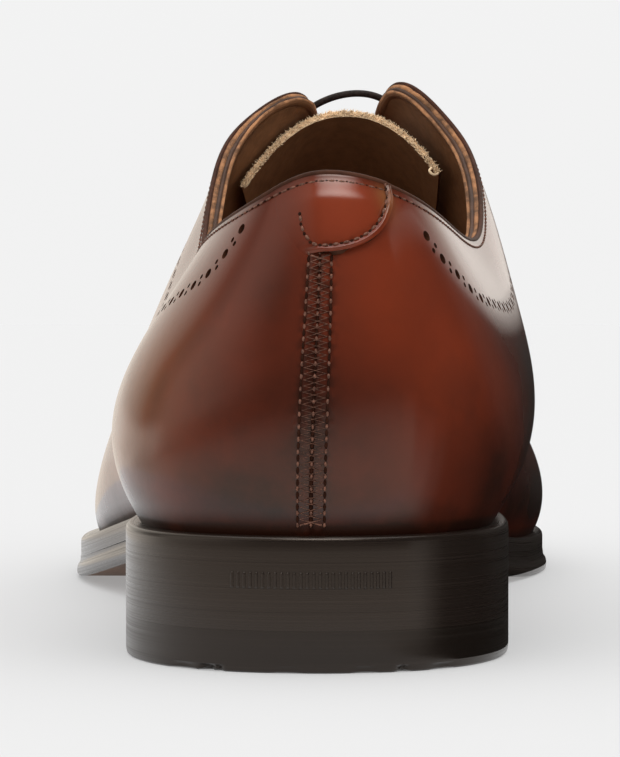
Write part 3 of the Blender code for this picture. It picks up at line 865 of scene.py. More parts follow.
# The punched pattern, as places on the upper from the lateral quarter round the throat to the medial one
PunchPoint = namedtuple("PunchPoint", "k v")
PUNCHED_LINE = (
    PunchPoint(1.0, 0.915),
    PunchPoint(1.16, 0.828),
    PunchPoint(1.36, 0.774),
    PunchPoint(1.61, 0.746),
    PunchPoint(1.95, 0.715),
    PunchPoint(2.5, 0.697),
    PunchPoint(3.15, 0.69),
    PunchPoint(3.8, 0.70),
    PunchPoint(4.6, 0.715),
    PunchPoint(5.6, 0.72),
    PunchPoint(7.0, 0.725),
    PunchPoint(8.3, 0.735),
    PunchPoint(9.4, 0.775),
    PunchPoint(10.4, 0.835),
    PunchPoint(11.3, 0.868),
    PunchPoint(12.0, 0.875),
    PunchPoint(12.7, 0.868),
    PunchPoint(13.6, 0.835),
    PunchPoint(14.6, 0.775),
    PunchPoint(15.7, 0.735),
    PunchPoint(17.0, 0.725),
    PunchPoint(18.4, 0.722),
    PunchPoint(19.4, 0.725),
    PunchPoint(20.2, 0.718),
    PunchPoint(20.5, 0.702),
    PunchPoint(21.2, 0.70),
    PunchPoint(21.9, 0.715),
    PunchPoint(22.34, 0.722),
    PunchPoint(22.58, 0.766),
    PunchPoint(22.79, 0.81),
    PunchPoint(22.95, 0.875),
)
PAIR_APART = 1.5
PUNCH_SCAN = 3000
# Share of the line's length over which its direction is read
PUNCH_NUDGE = 0.001

# Eyelets, as in the solids
FIRST_EYELET_K = 6.3
LAST_EYELET_K = 8.75
EYELET_V = 0.87
EYELET_PAIRS = 5


def tangent_places(k, v, across, along):
    """Places that lie this many millimetres round the shoe and up from the places (k, v)."""
    around, upward = skin_steps(k, v)
    first = unit(around)
    lean = np.sum(upward * first, axis=-1)
    second = np.linalg.norm(upward - lean[..., None] * first, axis=-1)
    dv = along / second
    dk = (across - dv * lean) / np.linalg.norm(around, axis=-1)
    return k + dk, v + dv


def punched_holes():
    """The large holes and the pairs between them, as rows of place k, place v and radius."""
    guide = Spline(np.arange(len(PUNCHED_LINE)), PUNCHED_LINE)
    scan = guide(np.linspace(0.0, len(PUNCHED_LINE) - 1.0, PUNCH_SCAN))
    along = along_points(skin_point(scan[:, 0], scan[:, 1]))
    count = int(along[-1] / mm(sizes().hole_pitch))

    def place(distance):
        """The place on the upper that is this far along the line."""
        return [np.interp(distance, along, column) for column in scan.T]

    holes = []
    for half_step in range(2 * count + 1):
        distance = along[-1] * (half_step / 2) / count
        k, v = place(distance)
        if half_step % 2 == 0:
            holes.append((k, v, mm(sizes().large_hole)))
            continue
        run = unit(skin_point(*place(distance + along[-1] * PUNCH_NUDGE)) - skin_point(k, v))
        across_line = np.cross(skin_out(k, v), run)
        around, upward = skin_steps(k, v)
        first = unit(around)
        second = unit(upward - np.dot(upward, first) * first)
        for side in (-0.5, 0.5):
            offset = side * PAIR_APART * across_line
            pair = tangent_places(k, v, np.dot(offset, first), np.dot(offset, second))
            holes.append((*pair, mm(sizes().small_hole)))
    return holes


def eyelet_places():
    """Places k of the lateral eyelets, from the top down."""
    return np.linspace(FIRST_EYELET_K, LAST_EYELET_K, EYELET_PAIRS)


def eyelet_holes():
    radius = mm(sizes().eyelet_radius)
    return [(k, EYELET_V, radius) for place in eyelet_places() for k in (place, ROUND - place)]


# How the finish is laid on, and where shade is painted into it: centre of each patch on the upper, its
# reach round and up, and how strong it is
Patch = namedtuple("Patch", "k v reach_k reach_v strength")
GLOW_PATCHES = (
    Patch(-1.1, 0.46, 0.55, 0.26, 0.75),
    Patch(-0.55, 0.68, 0.50, 0.26, 0.7),
    Patch(-0.25, 0.92, 0.50, 0.14, 0.9),
    Patch(0.55, 0.58, 0.22, 0.16, 0.3),
    Patch(4.2, 0.50, 1.4, 0.30, 0.6),
    Patch(-4.2, 0.50, 1.4, 0.30, 0.6),
    Patch(9.2, 0.55, 1.3, 0.35, 0.5),
    Patch(-9.2, 0.55, 1.3, 0.35, 0.5),
)
PALE_PATCHES = (
    Patch(1.75, 0.46, 0.6, 0.34, 0.75),
    Patch(2.4, 0.70, 0.6, 0.30, 0.6),
    Patch(-0.64, 0.95, 0.10, 0.05, 0.9),
)
# Burnish on the toe, darkening low on the back, and painted shade at k -1.6, -2.7 and -8.2 on the medial
# side
BURNISH_AND_SHADE_PATCHES = (
    Patch(0.3, 0.08, 1.3, 0.22, 0.85),
    Patch(0.1, 0.21, 1.0, 0.35, 0.77),
    Patch(0.45, 0.62, 0.35, 0.3, 0.5),
    Patch(0.95, 0.36, 0.35, 0.22, 0.35),
    Patch(-1.6, 0.16, 0.9, 0.3, 0.75),
    Patch(-2.7, 0.34, 1.1, 0.46, 0.85),
    Patch(-8.2, 0.14, 2.6, 0.22, 0.95),
    Patch(12.0, 0.30, 1.5, 0.42, 0.9),
    Patch(-12.0, 0.30, 1.5, 0.42, 0.9),
)


# Down the lateral side, where the heel's stiffener ends under the calf
COUNTER_LINE = (
    (0.74, 1.0),
    (0.74, 0.90),
    (0.76, 0.82),
    (0.85, 0.74),
    (1.01, 0.61),
    (1.18, 0.52),
    (1.34, 0.43),
    (1.38, 0.33),
    (1.39, 0.24),
)
COUNTER_POINTS = 60
COUNTER_REACH = 3.0
# Painted shade along the crease where the stiffener ends, and the depth of its trough
COUNTER_CREASE_SHADE = 0.25
COUNTER_TROUGH = 0.1


def counter_line(k, v):
    """1 along the line where the heel's stiffener ends, fading out to both sides."""
    guide = Spline(np.arange(len(COUNTER_LINE)), COUNTER_LINE)
    k_line, v_line = guide(np.linspace(0.0, len(COUNTER_LINE) - 1.0, COUNTER_POINTS)).T
    line = skin_point(k_line, v_line)
    away = np.linalg.norm(skin_point(k, v)[..., None, :] - line, axis=-1).min(axis=-1)
    return hump(away, 1.0, COUNTER_REACH)


def painted(patches, k, v):
    """Strength of the patches at places on the upper."""
    strength = np.zeros(np.broadcast(k, v).shape)
    for patch in patches:
        far = ((signed(k) - patch.k) / patch.reach_k) ** 2 + ((v - patch.v) / patch.reach_v) ** 2
        strength = np.maximum(strength, patch.strength * np.exp(-far))
    return strength


# Beside the back seam a unit of k, and near the collar a unit of v, is about this long
SEAM_MM_PER_K = 19.0
COLLAR_MM_PER_V = 67.0
# Darker towards the sole, and burnish along the top edge: its strength, and the heights where it fades
SOLE_DARKENING = 0.75
SOLE_DARKENING_V = (0.02, 0.22)
TOP_BURNISH = 0.55
TOP_BURNISH_V = (0.955, 1.0)
# Painted shade in the crevice along the welt, which also takes the polish off: the heights where it fades
CREVICE_SHADE_V = (0.01, 0.07)
# Puckering along the back seam, with painted shade in its creases: distances from it, and heights,
# where it fades
PUCKER_REACH = (2.0, 3.6)
PUCKER_V = (0.8, 0.86)


def finish_and_shade_values(k, v):
    """The painted dyes and polish of the calf, which is darker along its edges and puckered at the seam.

    It also holds painted shade down the medial side, in the crevice along the welt and along the
    stiffener's crease.
    """
    dull = 1 - smooth_step(v, *CREVICE_SHADE_V)
    burnish = np.maximum.reduce([
        painted(BURNISH_AND_SHADE_PATCHES, k, v),
        SOLE_DARKENING * (1 - smooth_step(v, *SOLE_DARKENING_V)),
        dull,
        TOP_BURNISH * smooth_step(v, *TOP_BURNISH_V),
        COUNTER_CREASE_SHADE * counter_line(k, v),
    ])
    from_seam = np.abs(signed(k)) * SEAM_MM_PER_K
    return {
        "glow": painted(GLOW_PATCHES, k, v),
        "pale": painted(PALE_PATCHES, k, v),
        "burnish": burnish,
        "pucker": (1 - smooth_step(from_seam, *PUCKER_REACH)) * (1 - smooth_step(v, *PUCKER_V)),
        "dull": dull,
    }


# Relief of the back seam, as heights and half widths: the closed groove, the swells beside it, and the
# dips along the sewn rows
GROOVE_HEIGHT = -0.22
GROOVE_HALF_WIDTH = 0.3
SWELL_HEIGHT = 0.14
SWELL_HALF_WIDTH = 0.55
SWELL_SHARE = 0.55
DIP_HEIGHT = -0.10
DIP_HALF_WIDTH = 0.35
SEAM_FADE_V = (0.83, 0.89)


def seam_relief(k, v):
    """How far the leather stands out along the back seam, up to the heel tab."""
    away = np.abs(signed(k)) * SEAM_MM_PER_K
    row_at = mm(sizes().seam_width) / 2
    groove = hump(away, GROOVE_HEIGHT, GROOVE_HALF_WIDTH)
    swell = hump(away - SWELL_SHARE * row_at, SWELL_HEIGHT, SWELL_HALF_WIDTH)
    dip = hump(away - row_at, DIP_HEIGHT, DIP_HALF_WIDTH)
    return (groove + swell + dip) * (1 - smooth_step(v, *SEAM_FADE_V))


UPPER_COLUMNS_PER_STATION = 18
UPPER_ROWS = 66
# Columns beside the back seam: the first, the end and the step, in units of k
SEAM_COLUMN_FIRST = 0.012
SEAM_COLUMNS = np.arange(SEAM_COLUMN_FIRST, 0.17, 0.014)
TUCK_V = -0.012
# Size of a unit of k and of v on the leather laid flat
PLANE_K = 22.0
PLANE_V = 75.0
HOLE_SIDES = 12
# Points of the grid give way round a hole: how far they are looked for, and to what share of its radius
# and past it
HOLE_REACH_K = 0.5
HOLE_REACH_V = 0.12
HOLE_CLEARING = 1.25
HOLE_MARGIN = 0.15


def leather_grid():
    """Places of the outer leather's columns and rows, closer together beside the back seam."""
    base = np.linspace(0.0, ROUND, ROUND * UPPER_COLUMNS_PER_STATION + 1)
    clear = SEAM_COLUMNS[-1] + SEAM_COLUMN_FIRST
    base = base[(base == 0.0) | (base == ROUND) | ((base > clear) & (base < ROUND - clear))]
    columns = np.sort(np.concatenate([base, SEAM_COLUMNS, ROUND - SEAM_COLUMNS]))
    rows = np.linspace(TUCK_V, 1.0, UPPER_ROWS + 1)
    return [axis.ravel() for axis in np.meshgrid(columns, rows, indexing="ij")]


def punched_sheet(holes):
    """Places and faces of the outer leather, laid flat, with every hole left open."""
    grid_k, grid_v = leather_grid()
    keep = np.ones(len(grid_k), bool)
    angles = np.linspace(0.0, 2 * math.pi, HOLE_SIDES, endpoint=False)
    loops = []
    for k, v, radius in holes:
        near = np.nonzero((np.abs(grid_k - k) < HOLE_REACH_K) & (np.abs(grid_v - v) < HOLE_REACH_V))[0]
        around, upward = skin_steps(k, v)
        offsets = np.outer(grid_k[near] - k, around) + np.outer(grid_v[near] - v, upward)
        cleared = np.linalg.norm(offsets, axis=1) < HOLE_CLEARING * radius + HOLE_MARGIN
        keep[near[cleared]] = False
        loops.append(tangent_places(k, v, radius * np.cos(angles), radius * np.sin(angles)))
    kept = int(keep.sum())
    flat_k = np.concatenate([grid_k[keep]] + [loop[0] for loop in loops])
    flat_v = np.concatenate([grid_v[keep]] + [loop[1] for loop in loops])
    hole_of = np.concatenate([np.full(kept, -1), np.repeat(np.arange(len(loops)), HOLE_SIDES)])
    edges = []
    for first in range(kept, len(flat_k), HOLE_SIDES):
        edges += [(first + i, first + (i + 1) % HOLE_SIDES) for i in range(HOLE_SIDES)]
    flat = [Vector((x, y)) for x, y in zip(flat_k * PLANE_K, flat_v * PLANE_V)]
    places, _, triangles, sources, _, _ = delaunay_2d_cdt(flat, edges, [], 0, 1e-6)
    hole_of = np.array([hole_of[source[0]] for source in sources])
    faces = []
    for a, b, c in triangles:
        inside_hole = hole_of[a] >= 0 and hole_of[a] == hole_of[b] == hole_of[c]
        if not inside_hole:
            faces.append((a, c, b))
    k = np.array([place.x for place in places]) / PLANE_K
    v = np.array([place.y for place in places]) / PLANE_V
    return k, v, faces


class OXFORD_OT_upper(bpy.types.Operator):
    """Cut and last the outer calf, with its punched pattern and eyelets"""

    bl_idname = "oxford.upper"
    bl_label = "Upper"

    def execute(self, context):
        k, v, faces = punched_sheet(punched_holes() + eyelet_holes())
        relief = seam_relief(k, v) - COUNTER_TROUGH * counter_line(k, v)
        points = skin_point(k, v) + relief[:, None] * skin_out(k, v)
        mesh = make_mesh("upper_leather", points, faces, finish_and_shade_values(k, v))
        weld(mesh)
        piece = add_object("upper_leather", mesh, ["calf", "bead"])
        thicken(piece, mm(sizes().leather_thickness), rim=1)
        bake_modifiers(piece)
        sharpen(piece)
        place_piece(piece, ["upper"])
        return {"FINISHED"}


# The lining, which turns inwards to the innermost layer of the top edge
LINING_DEPTH = 2.3
EDGE_DEPTH = 3.2
LINING_ROWS = 40
LINING_SPACING = 2.0
LINING_SPACED_AT_V = 0.6
LINING_TURN_V = 0.92
LINING_TOP_V = 0.988


class OXFORD_OT_lining(bpy.types.Operator):
    """Line the upper with thin leather"""

    bl_idname = "oxford.lining"
    bl_label = "Lining"

    def execute(self, context):
        k = even_places(LINING_SPACED_AT_V, LINING_SPACING)
        v = np.linspace(0.0, LINING_TOP_V, LINING_ROWS)
        grid_v, grid_k = np.meshgrid(v, k, indexing="ij")
        turned = smooth_step(grid_v, LINING_TURN_V, LINING_TOP_V)
        points = skin(grid_k, grid_v, LINING_DEPTH + (EDGE_DEPTH - LINING_DEPTH) * turned)
        mesh = make_mesh("lining", points, grid_quads(*grid_k.shape, wrap_columns=True))
        piece = add_object("lining", mesh, ["lining"])
        thicken(piece, mm(sizes().lining_thickness))
        bake_modifiers(piece)
        place_piece(piece)
        return {"FINISHED"}


# Across the top edge, from the outside over it to the inside: depth under the outer face, rise above the
# edge, and the finish as far as the next point
EdgePoint = namedtuple("EdgePoint", "depth rise finish")
EDGE_PROFILE = (
    EdgePoint(0.10, -0.62, "bead"),
    EdgePoint(-0.10, -0.48, "bead"),
    EdgePoint(-0.17, -0.22, "bead"),
    EdgePoint(-0.10, 0.06, "bead"),
    EdgePoint(0.10, 0.26, "bead"),
    EdgePoint(0.40, 0.32, "bead"),
    EdgePoint(0.62, 0.18, "bead"),
    EdgePoint(0.70, -0.15, "cut_edge"),
    EdgePoint(0.80, 0.12, "cut_edge"),
    EdgePoint(1.20, 0.20, "cut_edge"),
    EdgePoint(1.55, 0.08, "cut_edge"),
    EdgePoint(1.62, -0.3, "fold"),
    EdgePoint(1.75, 0.05, "fold"),
    EdgePoint(2.10, 0.22, "fold"),
    EdgePoint(2.45, 0.05, "fold"),
    EdgePoint(2.52, -0.25, "cut_edge"),
    EdgePoint(2.62, 0.10, "cut_edge"),
    EdgePoint(2.85, 0.18, "cut_edge"),
    EdgePoint(3.08, 0.10, "cut_edge"),
    EdgePoint(3.18, -0.2, "lining"),
    EdgePoint(3.2, -1.6, "lining"),
)
EDGE_SPACING = 1.0
# The cut layers inside the folded bead waver: waves in a unit of k, how far each layer is out of step
# with the one before it, their height, and the depths between which they set in
EDGE_WAVES = (9.0, 9.0 * 2.3)
EDGE_WAVE_STEPS = (1.7, 0.6)
EDGE_WOBBLE = 0.07
EDGE_WOBBLE_DEPTH = (0.3, 0.8)


def set_face_finishes(mesh, finishes, names_by_face):
    """Gives each face the place of its finish in the mesh's list of finishes."""
    numbers = [finishes.index(name) for name in names_by_face]
    mesh.polygons.foreach_set("material_index", numbers)


class OXFORD_OT_collar(bpy.types.Operator):
    """Fold and layer the top edge round the collar and the facings"""

    bl_idname = "oxford.collar"
    bl_label = "Collar edge"

    def execute(self, context):
        k = even_places(1.0, EDGE_SPACING)
        top = np.ones_like(k)
        edge = skin_point(k, top)
        out = skin_out(k, top)
        rise = unit(skin_steps(k, top)[1])
        lift = tab_lift_at_collar(k)[:, None]
        points = []
        for number, row in enumerate(EDGE_PROFILE):
            depth = row.depth - lift * max(0.0, 1.0 - row.depth / EDGE_DEPTH) ** 2
            waves = zip(EDGE_WAVES, EDGE_WAVE_STEPS)
            wave = sum(np.sin(k * per_k + step * number) for per_k, step in waves)
            wobble = EDGE_WOBBLE * smooth_step(row.depth, *EDGE_WOBBLE_DEPTH) * wave[:, None]
            points.append(edge - depth * out + (row.rise + wobble) * rise)
        points = np.stack(points, axis=1)
        faces = grid_quads(*points.shape[:2], wrap_rows=True, wrap_columns=True)
        mesh = make_mesh("collar_edge", points, faces)
        finishes = ["bead", "cut_edge", "fold", "lining"]
        set_face_finishes(mesh, finishes, [row.finish for row in EDGE_PROFILE] * len(k))
        weld(mesh, outwards=True)
        piece = add_object("collar_edge", mesh, finishes)
        place_piece(piece)
        return {"FINISHED"}


# The heel tab, down from the collar: place on the upper, then its lateral and medial edge
TabRow = namedtuple("TabRow", "v lateral_k medial_k")
TAB = (
    TabRow(0.992, 0.60, -0.735),
    TabRow(0.955, 0.57, -0.715),
    TabRow(0.910, 0.50, -0.655),
    TabRow(0.870, 0.42, -0.585),
    TabRow(0.835, 0.33, -0.485),
    TabRow(0.808, 0.25, -0.355),
    TabRow(0.793, 0.19, -0.215),
    TabRow(0.787, 0.15, -0.09),
)
TAB_LIFT = 1.0
TAB_THICKNESS = 0.95
TAB_ROUNDING = 0.2
TAB_ROWS = 40
TAB_COLUMNS = 90
# How much closer the columns stand towards the free edge
TAB_CROWDING = 1.6
# The tab rises out of the lateral quarter: how far it starts below the leather, and over what share of
# its width
TAB_SINK = 0.02
TAB_RISE_SHARE = 0.85
TAB_RISE_LEAST = 0.08
TAB_ROLL = 0.6
TAB_ROLL_V = (0.925, 0.99)
# Inside the free edge: the swell and the sewn groove, as places, heights and their half width
TAB_SWELL_INSET = 0.55
TAB_SWELL = 0.2
TAB_STITCH_INSET = 1.2
TAB_GROOVE = -0.15
TAB_RELIEF_HALF_WIDTH = 0.3
TAB_PUCKER = 0.6
TAB_PUCKER_HALF_WIDTH = 0.8
TAB_EDGE_POINTS = 160
TAB_FOOT_POINTS = 20
TAB_COLLAR_FADE_K = 0.03


def tab_rows(count):
    """Height, lateral edge and medial edge of the tab, down from the collar."""
    return Spline(np.linspace(0.0, 1.0, len(TAB)), TAB)(np.linspace(0.0, 1.0, count)).T


def tab_millimetres(k, v):
    """Places on the tab in millimetres round and up, as if it lay flat."""
    return np.stack([k * SEAM_MM_PER_K, v * COLLAR_MM_PER_V], axis=-1)


def inside_tab(k, v):
    """How far places lie from the tab's free edge, which is its medial edge and its foot."""
    edge_v, _, medial_k = tab_rows(TAB_EDGE_POINTS)
    foot_k = np.linspace(TAB[-1].medial_k, TAB[-1].lateral_k, TAB_FOOT_POINTS)
    edge_k = np.concatenate([medial_k, foot_k])
    edge_v = np.concatenate([edge_v, np.full(len(foot_k), TAB[-1].v)])
    places = tab_millimetres(*np.broadcast_arrays(np.asarray(k, float), np.asarray(v, float)))
    return np.linalg.norm(places[..., None, :] - tab_millimetres(edge_k, edge_v), axis=-1).min(axis=-1)


def tab_lift(k, v):
    """How far the tab stands off the upper.

    It runs out of the lateral quarter, so it rises from the leather there and stands proud further on.
    Its top rolls down to the collar, and its free edge swells outside the sewn groove.
    """
    by_height = TAB[::-1]
    lateral_k = np.interp(v, [row.v for row in by_height], [row.lateral_k for row in by_height])
    rise = (lateral_k - k) / (TAB_RISE_SHARE * lateral_k + TAB_RISE_LEAST)
    roll = 1 - TAB_ROLL * smooth_step(v, *TAB_ROLL_V)
    inside = inside_tab(k, v)
    swell = hump(inside - TAB_SWELL_INSET, TAB_SWELL, TAB_RELIEF_HALF_WIDTH)
    groove = hump(inside - TAB_STITCH_INSET, TAB_GROOVE, TAB_RELIEF_HALF_WIDTH)
    return (TAB_LIFT * roll + TAB_SINK + (swell + groove)) * smooth_step(rise, 0.0, 1.0) - TAB_SINK


def tab_lift_at_collar(k):
    """How far the tab's top holds the collar's folded edge off the upper."""
    k = signed(k)
    top = TAB[0]
    lift = np.maximum(tab_lift(k, np.full_like(k, top.v)), 0.0)
    started = smooth_step(k, top.medial_k - TAB_COLLAR_FADE_K, top.medial_k + TAB_COLLAR_FADE_K)
    return lift * started * (k < top.lateral_k)


class OXFORD_OT_heel_tab(bpy.types.Operator):
    """Lay the lateral quarter's tab over the top of the back seam"""

    bl_idname = "oxford.heel_tab"
    bl_label = "Heel tab"

    def execute(self, context):
        v, lateral_k, medial_k = tab_rows(TAB_ROWS)[..., None]
        across = np.linspace(0.0, 1.0, TAB_COLUMNS) ** TAB_CROWDING
        k = medial_k + (lateral_k - medial_k) * across
        v = np.broadcast_to(v, k.shape)
        points = skin(k, v, -tab_lift(k, v))
        values = finish_and_shade_values(k, v)
        # The tab's stitches pucker it too, with painted shade in the creases
        values["pucker"] = hump(inside_tab(k, v) - TAB_STITCH_INSET, TAB_PUCKER, TAB_PUCKER_HALF_WIDTH)
        mesh = make_mesh("heel_tab_leather", points, grid_quads(*k.shape), values)
        piece = add_object("heel_tab_leather", mesh, ["calf", "bead"])
        thicken(piece, TAB_THICKNESS, rim=1)
        round_edges(piece, TAB_ROUNDING)
        bake_modifiers(piece)
        sharpen(piece)
        place_piece(piece, ["heel_tab"])
        return {"FINISHED"}


# Arcs across the tongue, close to the solid's: place of the crown, half the width, how far the ends lie
# below and behind the crown, and how far the lateral end reaches
TongueRow = namedtuple("TongueRow", "s crown_x crown_z half_width drop sweep lateral_reach")
TONGUE = (
    TongueRow(112.0, 3.6, 99.6, 18.9, 12.4, 8.0, 1.1),
    TongueRow(125.0, 3.1, 92.4, 18.5, 17.0, 0.0, 1.03),
    TongueRow(139.1, 1.4, 83.1, 19.4, 13.9, 0.0, 1.0),
    TongueRow(153.2, 0.3, 75.1, 19.0, 10.9, 0.0, 1.0),
    TongueRow(167.2, -0.4, 68.4, 18.1, 8.6, 0.0, 1.0),
    TongueRow(181.4, -1.2, 62.5, 17.2, 6.8, 0.0, 1.0),
    TongueRow(193.2, -1.9, 58.7, 15.3, 5.2, 0.0, 1.0),
)
TONGUE_CROWNING = 2.2
TONGUE_ROOT = np.array([0.0, 12.0, -4.5])
TONGUE_THICKNESS = 1.25
# The sheet thins towards its ends: the shares of its half width where that starts and ends, and what is
# left
TONGUE_TAPER = (0.55, 1.05)
TONGUE_THINNEST = 0.35
# Rim faces that look further back than this are raw, and the others are folded
RAW_EDGE_FACING = -0.45
TONGUE_SECTIONS = 60
TONGUE_COLUMNS = 72


def tongue_section(row):
    """Points across the tongue: up the inside of one facing, over the crown, and down the other."""
    across = np.linspace(-row.lateral_reach, 1.0, TONGUE_COLUMNS)
    x = row.crown_x + row.half_width * across
    s = row.s - row.sweep * across**2
    z = row.crown_z - row.drop * np.abs(across) ** TONGUE_CROWNING
    return np.stack([x, s, z], axis=1)


def tongue_points():
    sections = [tongue_section(row) for row in TONGUE]
    sections.append(sections[-1] + TONGUE_ROOT)
    flat = np.array(sections).reshape(len(sections), -1)
    smooth = Spline(np.arange(len(sections)), flat)(np.linspace(0.0, len(sections) - 1.0, TONGUE_SECTIONS))
    return smooth.reshape(TONGUE_SECTIONS, TONGUE_COLUMNS, 3)


class OXFORD_OT_tongue(bpy.types.Operator):
    """Set the tongue behind the lacing, with its raw top edge"""

    bl_idname = "oxford.tongue"
    bl_label = "Tongue"

    def execute(self, context):
        points = tongue_points()
        mesh = make_mesh("tongue_leather", points, grid_quads(*points.shape[:2]))
        finishes = ["calf", "lining", "tongue_edge", "fold"]
        raw = finishes.index("tongue_edge")
        piece = add_object("tongue_leather", mesh, finishes)
        sheet = thicken(piece, TONGUE_THICKNESS, other_side=finishes.index("lining"), rim=raw)
        full = piece.vertex_groups.new(name="full_thickness")
        across = np.abs(np.linspace(-1.0, 1.0, TONGUE_COLUMNS))
        share = np.tile(1 - smooth_step(across, *TONGUE_TAPER), TONGUE_SECTIONS)
        for number, weight in enumerate(share):
            full.add([number], float(weight), "REPLACE")
        sheet.vertex_group = full.name
        sheet.thickness_vertex_group = TONGUE_THINNEST
        bake_modifiers(piece)
        for face in piece.data.polygons:
            if face.material_index == raw and face.normal.y > RAW_EDGE_FACING:
                face.material_index = finishes.index("fold")
        sharpen(piece)
        place_piece(piece, ["tongue"])
        return {"FINISHED"}


SOCK_ROWS = 90
SOCK_COLUMNS = 25
SOCK_END_K = 0.25
# The sock's edges turn up by this much
SOCK_CUP = 0.6
SOCK_THICKNESS = 1.0


def inner_margin(k):
    """Inset of the welt's inner edge, just inside the upper's wall."""
    return column_sizes(k).margin + WALL + WELT_UNDER_WALL


class OXFORD_OT_insole(bpy.types.Operator):
    """Lay the sock over the insole"""

    bl_idname = "oxford.insole"
    bl_label = "Insole"

    def execute(self, context):
        k = np.linspace(SOCK_END_K, SIDE_STATIONS - SOCK_END_K, SOCK_ROWS)
        sides = (k, ROUND - k)
        lateral, medial = (edge_point(side, inner_margin(side) + JOINT_GAP)[:, None] for side in sides)
        across = np.linspace(0.0, 1.0, SOCK_COLUMNS)[:, None]
        flat = lateral + (medial - lateral) * across
        cup = SOCK_CUP * (2 * across[:, 0] - 1) ** 4
        points = at_height(flat, welt_top(flat[..., 1]) + INSOLE_ABOVE_WELT + cup)
        mesh = make_mesh("sock", points, grid_quads(*points.shape[:2]))
        piece = add_object("sock", mesh, ["lining"])
        thicken(piece, SOCK_THICKNESS)
        bake_modifiers(piece)
        place_piece(piece, ["insole"])
        return {"FINISHED"}


# The sole and the heel
BREAST_RUN = 35.0
SOLE_SPACING = 1.2
WELT_FOOT = -0.14


def welt_lip(s):
    """How far the welt stands inside the outsole's edge: flush at the heel, set back at the forefoot."""
    return SOLE_LIP * smooth_step(s, HEEL_BREAST_S, TREAD_START_S)


def welt_bottom(s):
    return welt_top(s) - WELT_THICKNESS


def past_breast(s):
    """0 over the heel, 1 along the forefoot."""
    return smooth_step(s, HEEL_BREAST_S, HEEL_BREAST_S + BREAST_RUN)


# Across the welt, from its foot on the outsole over its outer edge: inset from the lip, and height
WELT_PROFILE = (
    (0.0, WELT_FOOT),
    (0.0, 1.6),
    (0.0, 3.1),
    (0.10, 3.7),
    (0.38, 4.08),
    (0.85, 4.2),
)
# Up the outsole's edge: inset at the heel, inset at the forefoot, and height
OUTSOLE_PROFILE = (
    (0.0, 1.6, 0.0),
    (0.0, 0.7, 0.02),
    (0.0, 0.16, 0.3),
    (0.0, 0.0, 0.9),
    (0.0, 0.02, 1.7),
    (0.0, 0.16, 2.3),
    (0.0, 0.5, 2.8),
    (0.0, 0.72, 3.2),
    (0.0, 0.76, 3.7),
    (0.0, 0.8, 4.34),
)


def run_across(rows):
    """Distances across a band from its first row, in metres, at every point of its rows."""
    steps = np.linalg.norm(np.diff(rows, axis=0), axis=-1)
    return np.concatenate([np.zeros((1, rows.shape[1])), np.cumsum(steps, axis=0)]) * MM


def cap_faces(first, count, flip):
    """Faces across a closed loop that runs heel, lateral side, toe, medial side."""
    half = count // 2
    faces = [(first, first + 1, first + count - 1)]
    for i in range(1, half - 1):
        faces.append((first + i, first + i + 1, first + count - i - 1, first + count - i))
    faces.append((first + half - 1, first + half, first + half + 1))
    return [face[::-1] for face in faces] if flip else faces


def paired_places(spacing):
    """Places round the sole, the same on both sides, from the heel's back to the toe and back again."""
    scan = np.linspace(0.0, SIDE_STATIONS, SCAN_POINTS)
    along = along_points(edge_point(scan, 0.0))
    count = int(along[-1] / spacing)
    lateral = np.interp(np.linspace(0.0, along[-1], count + 1), along, scan)
    return np.concatenate([lateral, ROUND - lateral[-2:0:-1]])


def sole_loops(k, rows, level):
    """Loops round the sole at insets from its edge, and at heights over a level that changes along it."""
    loops = []
    for inset, height in rows:
        flat = edge_point(k, inset)
        loops.append(at_height(flat, level(flat[:, 1]) + height))
    return np.array(loops)


class OXFORD_OT_sole(bpy.types.Operator):
    """Make the welt and the outsole with their trimmed and waxed edges"""

    bl_idname = "oxford.sole"
    bl_label = "Welt and outsole"

    def execute(self, context):
        k = paired_places(SOLE_SPACING)
        edge_s = edge_point(k, 0.0)[:, 1]
        lip = welt_lip(edge_s)
        rows = [(lip + inset, height) for inset, height in WELT_PROFILE]
        rows += [(inner_margin(k), WELT_THICKNESS), (inner_margin(k), WELT_FOOT)]
        points = sole_loops(k, rows, welt_bottom)
        faces = grid_quads(len(points), len(k), wrap_rows=True, wrap_columns=True)
        mesh = make_mesh("welt_strip", points, faces, {"edge_run": run_across(points)})
        weld(mesh, outwards=True)
        strip = add_object("welt_strip", mesh, ["sole_edge"])
        sharpen(strip)
        place_piece(strip, ["welt"])

        forefoot = past_breast(edge_s)
        rows = [
            (at_heel + (at_forefoot - at_heel) * forefoot, height)
            for at_heel, at_forefoot, height in OUTSOLE_PROFILE
        ]
        points = sole_loops(k, rows, sole_rise)
        faces = grid_quads(len(points), len(k), wrap_columns=True)
        under = cap_faces(0, len(k), flip=True)
        over = cap_faces((len(points) - 1) * len(k), len(k), flip=False)
        mesh = make_mesh("outsole_leather", points, faces + under + over, {"edge_run": run_across(points)})
        finishes = ["sole_edge", "sole_face"]
        by_face = ["sole_edge"] * len(faces) + ["sole_face"] * len(under) + ["sole_edge"] * len(over)
        set_face_finishes(mesh, finishes, by_face)
        weld(mesh, outwards=True)
        outsole = add_object("outsole_leather", mesh, finishes)
        sharpen(outsole)
        place_piece(outsole, ["outsole"])
        return {"FINISHED"}


HEEL_SCAN_POINTS = 2000
HEEL_BACK_POINTS = 321
HEEL_BREAST_SPANS = 30
HEEL_SHARP_FROM = math.radians(25)
# Each piece of the heel reaches up nearly to the next one
HEEL_JOINT_FILL = 0.28
TOP_PIECE_FOOT = ((1.1, 0.0), (0.45, 0.06), (0.14, 0.32), (0.02, 0.85), (0.0, 1.3), (0.0, 1.5), (0.0, 2.0))


